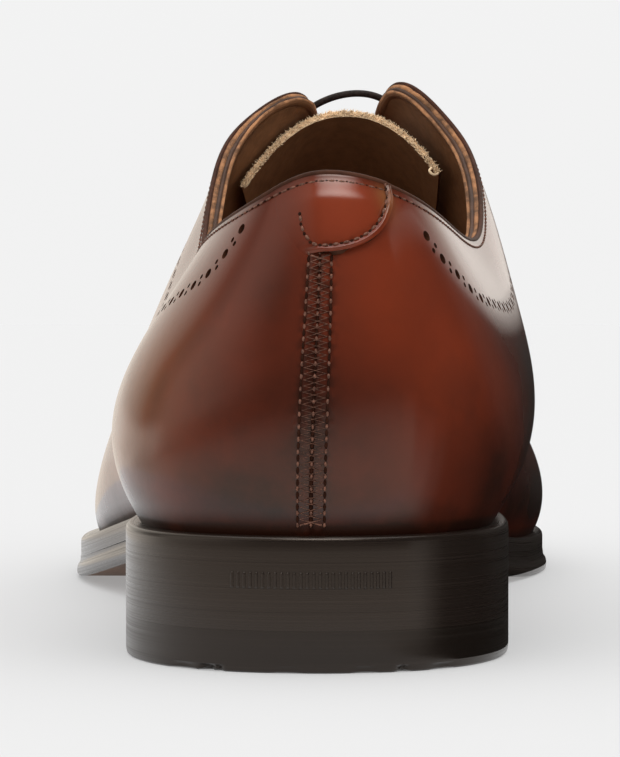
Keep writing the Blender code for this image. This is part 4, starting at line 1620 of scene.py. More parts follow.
# Nicks in the worn foot of the top piece: place across the back, half their width, and their height
TOP_PIECE_NICKS = (
    (-21.5, 2.2, 0.25),
    (-17.6, 1.1, 0.75),
    (-15.6, 0.7, 0.4),
    (-4.0, 3.0, 0.15),
    (9.0, 2.2, 0.2),
    (15.4, 0.9, 0.5),
    (22.0, 2.0, 0.25),
)
NICK_TOP = 0.9
NICK_DEPTH = 2.2
HEEL_MIDDLE = np.array([0.0, 40.0])


def worn_foot(flat, level):
    """One loop round the foot of the top piece, lifted and drawn in where it is nicked."""
    x, s = flat.T
    nicks = [hump(x - across, height, half_width) for across, half_width, height in TOP_PIECE_NICKS]
    nicked = np.maximum.reduce(nicks) * (s < HEEL_BREAST_S / 2)
    flat = flat + NICK_DEPTH * nicked[:, None] * unit(HEEL_MIDDLE - flat)
    return at_height(flat, np.maximum(level, nicked) if level > 0.0 else 0.0)


def heel_edge(inset):
    """Outline of a heel piece: round the back from breast to breast, then along the hollowed breast."""
    scan = np.linspace(0.0, SIDE_STATIONS / 2, HEEL_SCAN_POINTS)
    breast_k = np.interp(HEEL_BREAST_S, edge_point(scan, 0.0)[:, 1], scan)
    back = edge_point(np.linspace(-breast_k, breast_k, HEEL_BACK_POINTS), inset)
    t = np.linspace(0.0, 1.0, HEEL_BREAST_SPANS + 1)[1:-1, None]
    breast = back[-1] + t * (back[0] - back[-1])
    breast[:, 1] -= inset + BREAST_HOLLOW * 4 * t[:, 0] * (1 - t[:, 0])
    return np.concatenate([back, breast])


def heel_piece(name, levels, finish_name, node):
    """A piece of the heel from its loops, given by their inset and height."""
    loops = []
    for inset, level in levels:
        flat = heel_edge(inset)
        loops.append(worn_foot(flat, level) if level < NICK_TOP else at_height(flat, level))
    points = np.array(loops)
    count = points.shape[1]
    faces = grid_quads(len(loops), count, wrap_columns=True)
    faces.append(tuple(range(count))[::-1])
    faces.append(tuple(range((len(loops) - 1) * count, len(loops) * count)))
    mesh = make_mesh(name, points, faces, {"edge_run": points[..., 2] * MM})
    weld(mesh, outwards=True)
    piece = add_object(name, mesh, [finish_name])
    sharpen(piece, HEEL_SHARP_FROM)
    return place_piece(piece, [node])


class OXFORD_OT_heel(bpy.types.Operator):
    """Stack the heel: its lifts and the rubber top piece"""

    bl_idname = "oxford.heel"
    bl_label = "Heel"

    def execute(self, context):
        levels = [*TOP_PIECE_FOOT, (0.0, TOP_PIECE_THICKNESS + HEEL_JOINT_FILL)]
        heel_piece("top_piece", levels, "rubber", "heel_top_piece")
        bottom = seat_rise()
        for number, thickness in enumerate(LIFT_THICKNESSES, start=1):
            bottom -= thickness + JOINT_GAP
            levels = [(0.0, bottom), (0.0, bottom + thickness + HEEL_JOINT_FILL)]
            heel_piece(f"lift_{number}", levels, "sole_edge", f"heel_lift_{number}")
        return {"FINISHED"}


# Rows, cords and fringes that follow a path


def geometry_group(name, sockets_in):
    sockets = [("Geometry", "NodeSocketGeometry", None)] + sockets_in
    sockets_out = [("Geometry", "NodeSocketGeometry")]
    tree, ends_in, ends_out = new_group(name, "GeometryNodeTree", sockets, sockets_out)
    return tree, ends_in.outputs, ends_out.inputs["Geometry"]


def path_through(tree, geometry):
    return add_node(tree, "GeometryNodeMeshToCurve", {"Mesh": geometry}).outputs["Curve"]


def row_along(tree, geometry, measure, amount):
    """Points along the path, by their Count or by the Length between them."""
    inputs = {"Curve": path_through(tree, geometry), measure: amount}
    return add_node(tree, "GeometryNodeResampleCurve", inputs, mode=measure.upper()).outputs["Curve"]


def moved(tree, points, offset):
    inputs = {"Geometry": points, "Offset": offset}
    return add_node(tree, "GeometryNodeSetPosition", inputs).outputs["Geometry"]


def random_vector(tree, reach, seed):
    """A vector for every point, within the reach both ways."""
    inputs = {0: [-most for most in reach], 1: reach, "Seed": seed}
    return add_node(tree, "FunctionNodeRandomValue", inputs, data_type="FLOAT_VECTOR").outputs["Value"]


def along_and_out(tree):
    """Turns an instance's X along its path and its Z out of the leather."""
    tangent = add_node(tree, "GeometryNodeInputTangent").outputs["Tangent"]
    stored = add_node(tree, "GeometryNodeInputNamedAttribute", {"Name": "out"}, data_type="FLOAT_VECTOR")
    along = add_node(tree, "FunctionNodeAlignRotationToVector", {"Vector": tangent}, axis="X")
    inputs = {"Rotation": along.outputs["Rotation"], "Vector": stored.outputs["Attribute"]}
    turned = add_node(tree, "FunctionNodeAlignRotationToVector", inputs, axis="Z", pivot_axis="X")
    return tangent, turned.outputs["Rotation"]


def bead_shape(tree, length, width, height):
    """A small rounded body of those sizes."""
    ball = add_node(tree, "GeometryNodeMeshUVSphere", {"Segments": 8, "Rings": 5, "Radius": 0.5})
    size = add_node(tree, "ShaderNodeCombineXYZ", {0: length, 1: width, 2: height})
    inputs = {"Geometry": ball.outputs["Mesh"], "Scale": size.outputs[0]}
    return add_node(tree, "GeometryNodeTransform", inputs).outputs["Geometry"]


def made_real(tree, geometry, material):
    """Real and smooth geometry with its material."""
    real = add_node(tree, "GeometryNodeRealizeInstances", {"Geometry": geometry}).outputs["Geometry"]
    smooth = add_node(tree, "GeometryNodeSetShadeSmooth", {"Geometry": real}).outputs["Geometry"]
    inputs = {"Geometry": smooth, "Material": material}
    return add_node(tree, "GeometryNodeSetMaterial", inputs).outputs["Geometry"]


def placed(tree, points, shape, material, turn=None):
    """The shape at every point, turned or upright."""
    inputs = {"Points": points, "Instance": shape}
    if turn is not None:
        inputs["Rotation"] = turn
    instances = add_node(tree, "GeometryNodeInstanceOnPoints", inputs).outputs["Instances"]
    return made_real(tree, instances, material)


NEEDLE_HOLE_FLATNESS = 0.35
FIBRE_STRAY = (0.22 * MM, 0.22 * MM, 0.22 * MM)
FIBRE_LEAN = (1.2, 1.2, 3.1)


def sewn_row_group():
    """A row of stitches along a path, with flat dark marks between them that paint the needle holes' shade.
    """
    tree, given, result = geometry_group(
        "sewn_row",
        [
            ("Pitch", "NodeSocketFloat", 1.7 * MM),
            ("Length", "NodeSocketFloat", 1.4 * MM),
            ("Width", "NodeSocketFloat", 0.4 * MM),
            ("Hole Length", "NodeSocketFloat", 0.7 * MM),
            ("Hole Width", "NodeSocketFloat", 0.5 * MM),
            ("Thread", "NodeSocketMaterial", None),
            ("Needle Hole", "NodeSocketMaterial", None),
        ],
    )
    row = row_along(tree, given["Geometry"], "Length", given["Pitch"])
    tangent, turn = along_and_out(tree)
    thread = bead_shape(tree, given["Length"], given["Width"], given["Width"])
    half_pitch = maths(tree, "MULTIPLY", given["Pitch"], 0.5)
    step = add_node(tree, "ShaderNodeVectorMath", {0: tangent, "Scale": half_pitch}, operation="SCALE")
    flat = maths(tree, "MULTIPLY", given["Hole Width"], NEEDLE_HOLE_FLATNESS)
    # A flat dark mark paints the shade of each needle hole
    hole_shade = bead_shape(tree, given["Hole Length"], given["Hole Width"], flat)
    between = moved(tree, row, step.outputs["Vector"])
    both = add_node(tree, "GeometryNodeJoinGeometry")
    tree.links.new(placed(tree, row, thread, given["Thread"], turn), both.inputs["Geometry"])
    tree.links.new(placed(tree, between, hole_shade, given["Needle Hole"], turn), both.inputs["Geometry"])
    tree.links.new(both.outputs["Geometry"], result)
    return tree


def cord_group():
    """A round cord along a path."""
    tree, given, result = geometry_group(
        "round_cord",
        [
            ("Radius", "NodeSocketFloat", 0.7 * MM),
            ("Sides", "NodeSocketInt", 10),
            ("Finish", "NodeSocketMaterial", None),
        ],
    )
    path = path_through(tree, given["Geometry"])
    inputs = {"Resolution": given["Sides"], "Radius": given["Radius"]}
    ring = add_node(tree, "GeometryNodeCurvePrimitiveCircle", inputs)
    inputs = {"Curve": path, "Profile Curve": ring.outputs["Curve"], "Fill Caps": True}
    cord = add_node(tree, "GeometryNodeCurveToMesh", inputs)
    tree.links.new(made_real(tree, cord.outputs["Mesh"], given["Finish"]), result)
    return tree


def fringe_group():
    """Short stray fibres along a raw edge."""
    tree, given, result = geometry_group(
        "raw_fringe",
        [
            ("Count", "NodeSocketInt", 500),
            ("Length", "NodeSocketFloat", 1.0 * MM),
            ("Radius", "NodeSocketFloat", 0.09 * MM),
            ("Seed", "NodeSocketInt", 7),
            ("Finish", "NodeSocketMaterial", None),
        ],
    )
    row = row_along(tree, given["Geometry"], "Count", given["Count"])
    strayed = moved(tree, row, random_vector(tree, FIBRE_STRAY, given["Seed"]))
    lean = random_vector(tree, FIBRE_LEAN, given["Seed"])
    turn = add_node(tree, "FunctionNodeEulerToRotation", {"Euler": lean}).outputs["Rotation"]
    inputs = {"Vertices": 5, "Radius Top": 0.0, "Radius Bottom": given["Radius"], "Depth": given["Length"]}
    fibre = add_node(tree, "GeometryNodeMeshCone", inputs).outputs["Mesh"]
    tree.links.new(placed(tree, strayed, fibre, given["Finish"], turn), result)
    return tree


def ridge_group():
    """Upright fine ridges, evenly along a path."""
    tree, given, result = geometry_group(
        "seat_ridges",
        [
            ("Count", "NodeSocketInt", 38),
            ("Height", "NodeSocketFloat", 2.8 * MM),
            ("Radius", "NodeSocketFloat", 0.2 * MM),
            ("Finish", "NodeSocketMaterial", None),
        ],
    )
    row = row_along(tree, given["Geometry"], "Count", given["Count"])
    inputs = {"Vertices": 8, "Side Segments": 9, "Radius": given["Radius"], "Depth": given["Height"]}
    ridge = add_node(tree, "GeometryNodeMeshCylinder", inputs).outputs["Mesh"]
    tree.links.new(placed(tree, row, ridge, given["Finish"]), result)
    return tree


GROUP_BUILDERS = {
    "sewn_row": sewn_row_group,
    "round_cord": cord_group,
    "raw_fringe": fringe_group,
    "seat_ridges": ridge_group,
}
Run = namedtuple("Run", "points out closed")


def plain_run(points):
    """A path whose pieces have no side to turn outwards."""
    return Run(points, np.zeros_like(points), False)


def skin_run(k, v, lift=0.0, closed=False):
    """A path over the leather at places (k, v)."""
    k, v = np.broadcast_arrays(np.asarray(k, float), np.asarray(v, float))
    return Run(skin(k, v, -np.asarray(lift)), skin_out(k, v), closed)


def follow(name, runs, group_name, values):
    """A piece that a node group makes along the runs."""
    points = np.concatenate([run.points for run in runs])
    edges = []
    first = 0
    for run in runs:
        count = len(run.points)
        edges += [(first + i, first + i + 1) for i in range(count - 1)]
        if run.closed:
            edges.append((first + count - 1, first))
        first += count
    mesh = bpy.data.meshes.new(name)
    mesh.from_pydata(to_world(points).tolist(), edges, [])
    out = mesh.attributes.new("out", "FLOAT_VECTOR", "POINT")
    out.data.foreach_set("vector", np.concatenate([run.out for run in runs]).astype(np.float32).ravel())
    piece = add_object(name, mesh, [])
    tree = shared_group(group_name, GROUP_BUILDERS[group_name])
    modifier = piece.modifiers.new(group_name, "NODES")
    modifier.node_group = tree
    identifiers = {
        item.name: item.identifier for item in tree.interface.items_tree if item.in_out == "INPUT"
    }
    for key, value in values.items():
        modifier[identifiers[key]] = value
    return bake_modifiers(piece)


# The needle hole is a little longer than the gap between two stitches
NEEDLE_HOLE_SHARE = 1.1


def sew(name, runs, pitch_share=1.0, stitch_share=0.7, width_share=1.0):
    """Rows of stitches along the runs, sewn through the calf."""
    pitch = sizes().stitch_pitch * pitch_share
    width = sizes().stitch_width * width_share
    values = {
        "Pitch": pitch,
        "Length": pitch * stitch_share,
        "Width": width,
        "Hole Length": pitch * (1 - stitch_share) * NEEDLE_HOLE_SHARE,
        "Hole Width": width,
        "Thread": finish("thread"),
        "Needle Hole": finish("needle_hole"),
    }
    return place_piece(follow(name, runs, "sewn_row", values))


COLLAR_STITCH_SPACING = 1.0
COLLAR_STITCH_DOWN = 1.75
COLLAR_STITCH_LIFT = 0.03
COLLAR_SLOPE_V = 0.98
TAB_STITCH_POINTS = 60
TAB_STITCH_LIFT = 0.04
# Where the tab's row curls in at the back seam, and how far back along the row the curl takes its direction
TAB_STITCH_CURL = ((0.04, 0.808), (0.12, 0.828), (0.18, 0.856), (0.205, 0.882))
TAB_CURL_LEAD = 8
TAB_CURL_POINTS = 24
ZIGZAG_SHARE = 0.8
ZIGZAG_STEP_V = 0.0172
ZIGZAG_RADIUS_SHARE = 0.45
ZIGZAG_SIDES = 6
# The two zigzag threads lie at this height, and one crosses over the other
ZIGZAG_LIFT = 0.1
ZIGZAG_CROSSING = 0.05
SEAM_FOOT_V = 0.025
SEAM_STITCH_TOP_V = 0.79
SEAM_STITCH_POINTS = 80
SEAM_STITCH_LIFT = 0.02


def below_top(k, distance):
    """Heights v that lie this far down from the top edge."""
    upward = skin_steps(k, np.full_like(k, COLLAR_SLOPE_V))[1]
    return 1.0 - distance / np.linalg.norm(upward, axis=-1)


def tab_stitch_run():
    """Just inside the tab's free edge, from the collar round to the back seam."""
    v, _, medial_k = tab_rows(TAB_STITCH_POINTS)
    flat = tab_millimetres(medial_k, v)
    run = unit(np.gradient(flat, axis=0))
    flat += TAB_STITCH_INSET * np.stack([-run[:, 1], run[:, 0]], axis=1)
    places = flat / tab_millimetres(1.0, 1.0)
    turn = np.concatenate([places[[-TAB_CURL_LEAD, -1]], TAB_STITCH_CURL])
    curl = Spline(np.arange(len(turn)), turn)(np.linspace(1.0, len(turn) - 1.0, TAB_CURL_POINTS)[1:])
    k, v = np.concatenate([places, curl]).T
    return skin_run(k, v, tab_lift(k, v) + TAB_STITCH_LIFT)


class OXFORD_OT_stitches(bpy.types.Operator):
    """Sew the collar, the facings, the heel tab and the back seam"""

    bl_idname = "oxford.stitches"
    bl_label = "Stitching"

    def execute(self, context):
        k = even_places(1.0, COLLAR_STITCH_SPACING)
        lift = tab_lift_at_collar(k) + COLLAR_STITCH_LIFT
        sew("collar_stitches", [skin_run(k, below_top(k, COLLAR_STITCH_DOWN), lift, closed=True)])
        heights = np.linspace(SEAM_FOOT_V, SEAM_STITCH_TOP_V, SEAM_STITCH_POINTS)
        half = mm(sizes().seam_width) / 2 / SEAM_MM_PER_K
        rows = [skin_run(side * half, heights, SEAM_STITCH_LIFT) for side in (-1, 0, 1)]
        sew("back_seam_stitches", rows, pitch_share=1.2, stitch_share=0.45, width_share=1.25)
        steps = np.arange(SEAM_FOOT_V, SEAM_STITCH_TOP_V, ZIGZAG_STEP_V)
        swing = half * ZIGZAG_SHARE * np.where(np.arange(len(steps)) % 2 == 0, 1.0, -1.0)
        runs = [skin_run(side * swing, steps, ZIGZAG_LIFT + ZIGZAG_CROSSING * side) for side in (-1, 1)]
        values = {
            "Radius": sizes().stitch_width * ZIGZAG_RADIUS_SHARE,
            "Sides": ZIGZAG_SIDES,
            "Finish": finish("thread"),
        }
        place_piece(follow("back_seam_zigzag", runs, "round_cord", values))
        sew("tab_stitches", [tab_stitch_run()], stitch_share=0.65, width_share=1.3)
        return {"FINISHED"}


# Fine ridges across the back of the heel seat: half their run, their foot, their height, and how deep
# they stand
RIDGE_HALF_RUN = 13.2
RIDGE_FOOT_Z = 14.15
RIDGE_HEIGHT = 2.7
RIDGE_RADIUS = 0.34
RIDGE_INSET = 0.14
RIDGE_SCAN = np.linspace(-2.0, 2.0, 801)


class OXFORD_OT_seat_ridges(bpy.types.Operator):
    """Press the fine upright ridges into the back of the heel seat"""

    bl_idname = "oxford.seat_ridges"
    bl_label = "Seat ridges"

    def execute(self, context):
        flat = edge_point(RIDGE_SCAN, RIDGE_INSET)
        flat = flat[np.abs(flat[:, 0]) < RIDGE_HALF_RUN]
        run = plain_run(at_height(flat, RIDGE_FOOT_Z + RIDGE_HEIGHT / 2))
        values = {
            "Count": sizes().ridge_count,
            "Height": RIDGE_HEIGHT * MM,
            "Radius": RIDGE_RADIUS * MM,
            "Finish": finish("sole_edge"),
        }
        place_piece(follow("seat_ridges", [run], "seat_ridges", values))
        return {"FINISHED"}


FRINGE_COUNT = 700
FRINGE_LENGTH = 0.75
FRINGE_RADIUS = 0.1
FRINGE_SEED = 7
# Where the rows of fibres stand in the tongue's thickness
FRINGE_SHARES = (0.15, 0.5, 0.85)
LOOSE_THREAD = (
    (0.0, 0.0, 0.0),
    (-0.5, -0.9, -0.4),
    (-1.3, -1.4, -0.2),
    (-1.7, -1.2, 0.5),
    (-1.2, -1.0, 1.0),
)
LOOSE_THREAD_POINTS = 24
LOOSE_THREAD_RADIUS = 0.28
LOOSE_THREAD_SIDES = 8


class OXFORD_OT_tongue_fringe(bpy.types.Operator):
    """Fray the tongue's raw top edge, and leave one loose end of thread"""

    bl_idname = "oxford.tongue_fringe"
    bl_label = "Tongue fringe"

    def execute(self, context):
        points = tongue_points()
        edge = points[0]
        along = unit(np.gradient(edge, axis=0))
        inwards = unit(np.cross(along, unit(points[1] - edge)))
        middle = np.array([0.0, SHOE_LENGTH / 2, 0.0])
        if np.sum((middle - edge) * inwards) < 0:
            inwards = -inwards
        runs = [plain_run(edge + share * TONGUE_THICKNESS * inwards) for share in FRINGE_SHARES]
        values = {
            "Count": FRINGE_COUNT,
            "Length": FRINGE_LENGTH * MM,
            "Radius": FRINGE_RADIUS * MM,
            "Seed": FRINGE_SEED,
            "Finish": finish("tongue_edge"),
        }
        place_piece(follow("tongue_fringe", runs, "raw_fringe", values))
        start = edge[-1] + TONGUE_THICKNESS / 2 * inwards[-1]
        thread = spread(start + np.array(LOOSE_THREAD), LOOSE_THREAD_POINTS)
        values = {
            "Radius": LOOSE_THREAD_RADIUS * MM,
            "Sides": LOOSE_THREAD_SIDES,
            "Finish": finish("tongue_edge"),
        }
        place_piece(follow("loose_thread", [plain_run(thread)], "round_cord", values))
        return {"FINISHED"}


# The lace: its play over the facings, how far past an eyelet it comes up, its depths in an eyelet and
# under a facing, and where it starts and ends between two eyelets there
LACE_PLAY = 0.2
LACE_RISE_V = 0.012
LACE_THROUGH_DEPTHS = np.array([-0.5, 0.9, 2.4])
LACE_UNDER_DEPTH = 3.3
LACE_UNDER_SHARES = (0.12, 0.88)
LACE_SIDESTEP_V = 0.022
LACE_SPACING = 0.8
LACE_SIDES = 12
FACING_POINTS = 7
LATERAL_SIDE = 1
MEDIAL_SIDE = -1
# The bars as the lace passes them: the bar, the side where it comes up, the next bar, and how far the way
# to that one steps aside
LACE_ORDER = (
    (2, LATERAL_SIDE, 4, -1.0),
    (4, MEDIAL_SIDE, 5, 0.6),
    (5, LATERAL_SIDE, 3, 1.2),
    (3, MEDIAL_SIDE, 1, -1.6),
)


def eyelet_k(number, side):
    """Place of an eyelet, counted from the top."""
    place = eyelet_places()[number - 1]
    return place if side == LATERAL_SIDE else ROUND - place


def lace_bar(number, side):
    """Up through one eyelet of a pair, over both facings, and down through the other eyelet."""
    lift = -(JOINT_GAP + mm(sizes().lace_radius) + LACE_PLAY)
    heights = np.linspace(EYELET_V + LACE_RISE_V, 1.0, FACING_POINTS)
    near = eyelet_k(number, side)
    far = eyelet_k(number, -side)
    return [
        skin(near, EYELET_V, LACE_THROUGH_DEPTHS)[::-1],
        skin(near, heights, lift),
        skin(far, heights[::-1], lift),
        skin(far, EYELET_V, LACE_THROUGH_DEPTHS),
    ]


def lace_under(first, last, side, sidestep):
    """Under one facing, from an eyelet to another, beside any other run there."""
    steps = np.linspace(*LACE_UNDER_SHARES, 2 + 3 * abs(first - last))
    k = eyelet_k(first, side) + steps * (eyelet_k(last, side) - eyelet_k(first, side))
    v = EYELET_V + sidestep * LACE_SIDESTEP_V * np.sin(math.pi * steps)
    return skin(k, v, LACE_UNDER_DEPTH)


def lace_points():
    """One lace in five bars, with both ends under the top eyelets."""
    legs = [lace_under(1, 2, LATERAL_SIDE, 1.0)]
    for bar, side, next_bar, sidestep in LACE_ORDER:
        legs += lace_bar(bar, side)
        legs.append(lace_under(bar, next_bar, -side, sidestep))
    legs += lace_bar(1, LATERAL_SIDE)
    points = np.concatenate(legs)
    return spread(points, int(along_points(points)[-1] / LACE_SPACING))


class OXFORD_OT_lace(bpy.types.Operator):
    """Thread the lace through the eyelets in straight bars"""

    bl_idname = "oxford.lace"
    bl_label = "Lace"

    def execute(self, context):
        values = {"Radius": sizes().lace_radius, "Sides": LACE_SIDES, "Finish": finish("lace")}
        lace = follow("lace", [plain_run(lace_points())], "round_cord", values)
        place_piece(lace, [f"lace_bar_{number}" for number in range(1, EYELET_PAIRS + 1)])
        return {"FINISHED"}


# The studio: the camera keeps the photograph's place behind the heel and turns to the one shoe
FRAME_HEIGHT_PX = 757
PHOTO_FOCAL_PX = 1708.0
SENSOR = 36.0
NEAREST_SEEN = 0.01
CAMERA_PLACE = (0.0219, -0.673, 0.0629)
CAMERA_TURN = math.radians(1.82)
CAMERA_DIP = math.radians(1.52)
FRAMING_ZOOM = 1.85
WORLD_LIGHT = 0.885
OVERHEAD_LIGHT = 0.8
FLOOR_REACH = 6.0
FLOOR_GLOW = 0.3
PAPER_ROUGHNESS = 0.9
PAPER_GRAIN_SCALE = 300.0
PAPER_GRAIN_SHADE = 0.995
WHITE = (1.0, 1.0, 1.0, 1.0)
BLACK = (0.0, 0.0, 0.0, 1.0)
# The cards: one stands along the medial side, and two run round the shoe, over the floor and up, and fade
# out
CARD_SHADE = 0.003
CARD_WARMTH = (1.0, 0.94, 0.87)
FRONT_CARD_WARMTH = (1.05, 0.97, 0.86)
FLOOR_CARD_WARMTH = (1.0, 0.9, 0.79)
CARD_ABOVE_FLOOR = 0.0015
SIDE_CARD_FOOT_X = 0.03
SIDE_CARD_X = 0.067
# Along the side card: place and height of its top, which fades out
SIDE_CARD_TOP = (
    (-0.18, 0.1),
    (-0.17, 0.1),
    (-0.16, 0.1),
    (-0.15, 0.099),
    (-0.12, 0.095),
    (-0.09, 0.0805),
    (-0.05, 0.0705),
    (0.08, 0.0665),
    (0.14, 0.08),
    (0.22, 0.12),
    (0.4, 0.17),
)
SIDE_CARD_FADE = 0.006
SIDE_CARD_REAR = (-0.175, -0.15)
SIDE_CARD_REAR_TOP = 0.042
RING_CARD_POINTS = 91
# Round the ring cards from the lateral side: turn from straight behind the shoe, and how bright they are
FRONT_CARD_LOW = ((-165, 1.1), (-112, 1.35), (-92, 0.55), (-60, 0.2), (-25, 0.0), (100, 0.0), (150, 1.0))
FRONT_CARD_HIGH = (
    (-172, 1.0),
    (-150, 0.8),
    (-136, 0.58),
    (-127, 0.36),
    (-120, 0.05),
    (-114, 0.25),
    (-106, 0.55),
    (-90, 0.7),
    (-70, 0.62),
    (-52, 0.34),
    (-38, 0.1),
    (-25, 0.0),
    (100, 0.0),
    (150, 1.0),
)
# The turn over which the lateral brightness comes to be shifted in full
SHIFT_TURN = 40.0
# From the shoe over the floor and up: distance, height, least brightness, the brightness round it, and how
# far that is shifted towards the back
FLOOR_CARD_PROFILE = (
    (0.2, CARD_ABOVE_FLOOR, 1.0, FRONT_CARD_LOW, 0.0),
    (0.5, CARD_ABOVE_FLOOR, 0.4, FRONT_CARD_LOW, 0.0),
    (1.0, CARD_ABOVE_FLOOR, 0.0, FRONT_CARD_LOW, 0.0),
)
FRONT_CARD_PROFILE = (
    (1.0, CARD_ABOVE_FLOOR, 0.0, FRONT_CARD_LOW, 0.0),
    (1.0, 0.07, 0.0, FRONT_CARD_LOW, 0.0),
    (1.0, 0.14, 0.0, FRONT_CARD_HIGH, 9.0),
    (1.0, 0.25, 0.0, FRONT_CARD_HIGH, 7.0),
    (1.0, 0.34, 0.0, FRONT_CARD_HIGH, 5.0),
    (1.0, 0.42, 0.0, FRONT_CARD_HIGH, 11.0),
    (1.0, 0.5, 0.0, FRONT_CARD_HIGH, 18.0),
    (1.0, 0.6, 0.0, FRONT_CARD_HIGH, 26.0),
    (1.0, 0.9, 0.0, FRONT_CARD_HIGH, 45.0),
    (1.0, 1.8, 0.0, FRONT_CARD_HIGH, 70.0),
)
# The soft box over the heel, and the card that shows for it in the polish
TOP_BOX_PLACE = (0.05, -0.8, 0.95)
TOP_BOX_TARGET = (0.0, -0.13, 0.08)
TOP_BOX_SIZE = (0.6, 0.25)
TOP_BOX_POWER = 2.6
TOP_CARD_HALF_SIZE = (0.5, 0.3)
TOP_CARD_POINTS = 25
TOP_CARD_GLOW = 7.5
TOP_CARD_EDGE = 0.02
# A bright card in front of the toe on the medial side
BRIGHT_CARD_X = (0.0, 1.3)
BRIGHT_CARD_Y = 1.5
BRIGHT_CARD_Z = (0.0, 1.0)
BRIGHT_CARD_POINTS = 13
BRIGHT_CARD_PEAK_Z = 0.28
BRIGHT_CARD_GAIN = 0.3
BRIGHT_CARD_FALL = 4


def card_shade(bright):
    """Shade between the dark card and the white tent."""
    return CARD_SHADE + (WORLD_LIGHT - CARD_SHADE) * bright


def area_light(name, place, target, size, power, left_out):
    """A soft box that lights everything but one object."""
    light = bpy.data.lights.new(name, "AREA")
    light.shape = "RECTANGLE"
    light.size, light.size_y = size
    light.energy = power
    lamp = bpy.data.objects.new(name, light)
    bpy.context.scene.collection.objects.link(lamp)
    lamp.location = place
    lamp.rotation_euler = (Vector(target) - Vector(place)).to_track_quat("-Z", "Y").to_euler()
    lamp.visible_camera = False
    lamp.visible_glossy = False
    receivers = bpy.data.collections.new(f"{name}_receivers")
    receivers.objects.link(left_out)
    receivers.collection_objects[0].light_linking.link_state = "EXCLUDE"
    lamp.light_linking.receiver_collection = receivers


def white_tent():
    """Light from all round, brighter overhead."""
    world = bpy.data.worlds.new("white_tent")
    world.use_nodes = True
    tree = world.node_tree
    direction = add_node(tree, "ShaderNodeTexCoord").outputs["Generated"]
    upward = add_node(tree, "ShaderNodeSeparateXYZ", {0: direction}).outputs["Z"]
    above = maths(tree, "MAXIMUM", upward, 0.0)
    extra = maths(tree, "MULTIPLY", maths(tree, "MULTIPLY", above, above), OVERHEAD_LIGHT)
    tree.links.new(maths(tree, "ADD", extra, WORLD_LIGHT), tree.nodes["Background"].inputs["Strength"])
    tree.nodes["Background"].inputs["Color"].default_value = WHITE
    return world


def studio_card(name, rows, shades, warmth=CARD_WARMTH):
    """A card that shows only in the polish, as photographers set them beside shiny leather.

    It has rows of points, and a shade at each point.
    """
    mesh = bpy.data.meshes.new(name)
    rows = np.asarray(rows, float)
    mesh.from_pydata(rows.reshape(-1, 3).tolist(), [], grid_quads(*rows.shape[:2]))
    shade = mesh.attributes.new("shade", "FLOAT", "POINT")
    shade.data.foreach_set("value", np.asarray(shades, np.float32).ravel())
    material, tree, shader, _ = start_material(name, 1.0, specular=0.0)
    shader.inputs["Base Color"].default_value = BLACK
    shader.inputs["Emission Color"].default_value = opaque(warmth)
    tree.links.new(vertex_value(tree, "shade"), shader.inputs["Emission Strength"])
    mesh.materials.append(material)
    card = bpy.data.objects.new(name, mesh)
    bpy.context.scene.collection.objects.link(card)
    card.visible_camera = False
    card.visible_diffuse = False
    card.visible_shadow = False


def add_floor(scene):
    """White paper under the shoe, which glows a little."""
    mesh = bpy.data.meshes.new("floor")
    corners = [(-FLOOR_REACH, -FLOOR_REACH), (FLOOR_REACH, -FLOOR_REACH)]
    corners += [(FLOOR_REACH, FLOOR_REACH), (-FLOOR_REACH, FLOOR_REACH)]
    mesh.from_pydata([(x, y, 0.0) for x, y in corners], [], [(0, 1, 2, 3)])
    floor = bpy.data.objects.new("floor", mesh)
    scene.collection.objects.link(floor)
    material, tree, shader, place = start_material("studio_paper", PAPER_ROUGHNESS, specular=0.0)
    pale = colours().floor
    shaded = [channel * PAPER_GRAIN_SHADE for channel in pale]
    tone = blend_colour(tree, noise(tree, place, PAPER_GRAIN_SCALE), opaque(shaded), opaque(pale))
    tree.links.new(tone, shader.inputs["Base Color"])
    shader.inputs["Emission Color"].default_value = WHITE
    shader.inputs["Emission Strength"].default_value = FLOOR_GLOW
    mesh.materials.append(material)
    return floor


def top_card():
    """The soft box as the polish shows it, brightest in the middle."""
    aim = unit(np.array(TOP_BOX_TARGET) - np.array(TOP_BOX_PLACE))
    level = unit(np.cross(aim, [0.0, 0.0, 1.0]))
    upward = np.cross(level, aim)
    steps = np.linspace(-1.0, 1.0, TOP_CARD_POINTS)
    across, along = np.meshgrid(steps, steps, indexing="ij")
    width, height = TOP_CARD_HALF_SIZE
    rows = TOP_BOX_PLACE + width * across[..., None] * level + height * along[..., None] * upward
    glow = TOP_CARD_GLOW * np.maximum(0.0, 1 - across**2 - along**2) ** 2
    studio_card("card_top", rows, TOP_CARD_EDGE + glow)


def side_card():
    """Along the medial side: over the floor and up beside the shoe, fading out at its top and its rear."""
    y, top = np.array(SIDE_CARD_TOP).T
    rear = 1 - smooth_step(y, *SIDE_CARD_REAR)
    levels = (
        (SIDE_CARD_FOOT_X, CARD_ABOVE_FLOOR, rear),
        (SIDE_CARD_X, CARD_ABOVE_FLOOR, rear),
        (SIDE_CARD_X, SIDE_CARD_REAR_TOP, 0.0),
        (SIDE_CARD_X, top - SIDE_CARD_FADE, 0.0),
        (SIDE_CARD_X, top + SIDE_CARD_FADE, 1.0),
    )
    rows = [np.stack(np.broadcast_arrays(x, y, z), axis=1) for x, z, bright in levels]
    shades = [card_shade(np.broadcast_to(bright, y.shape)) for x, z, bright in levels]
    studio_card("card_side", rows, shades)


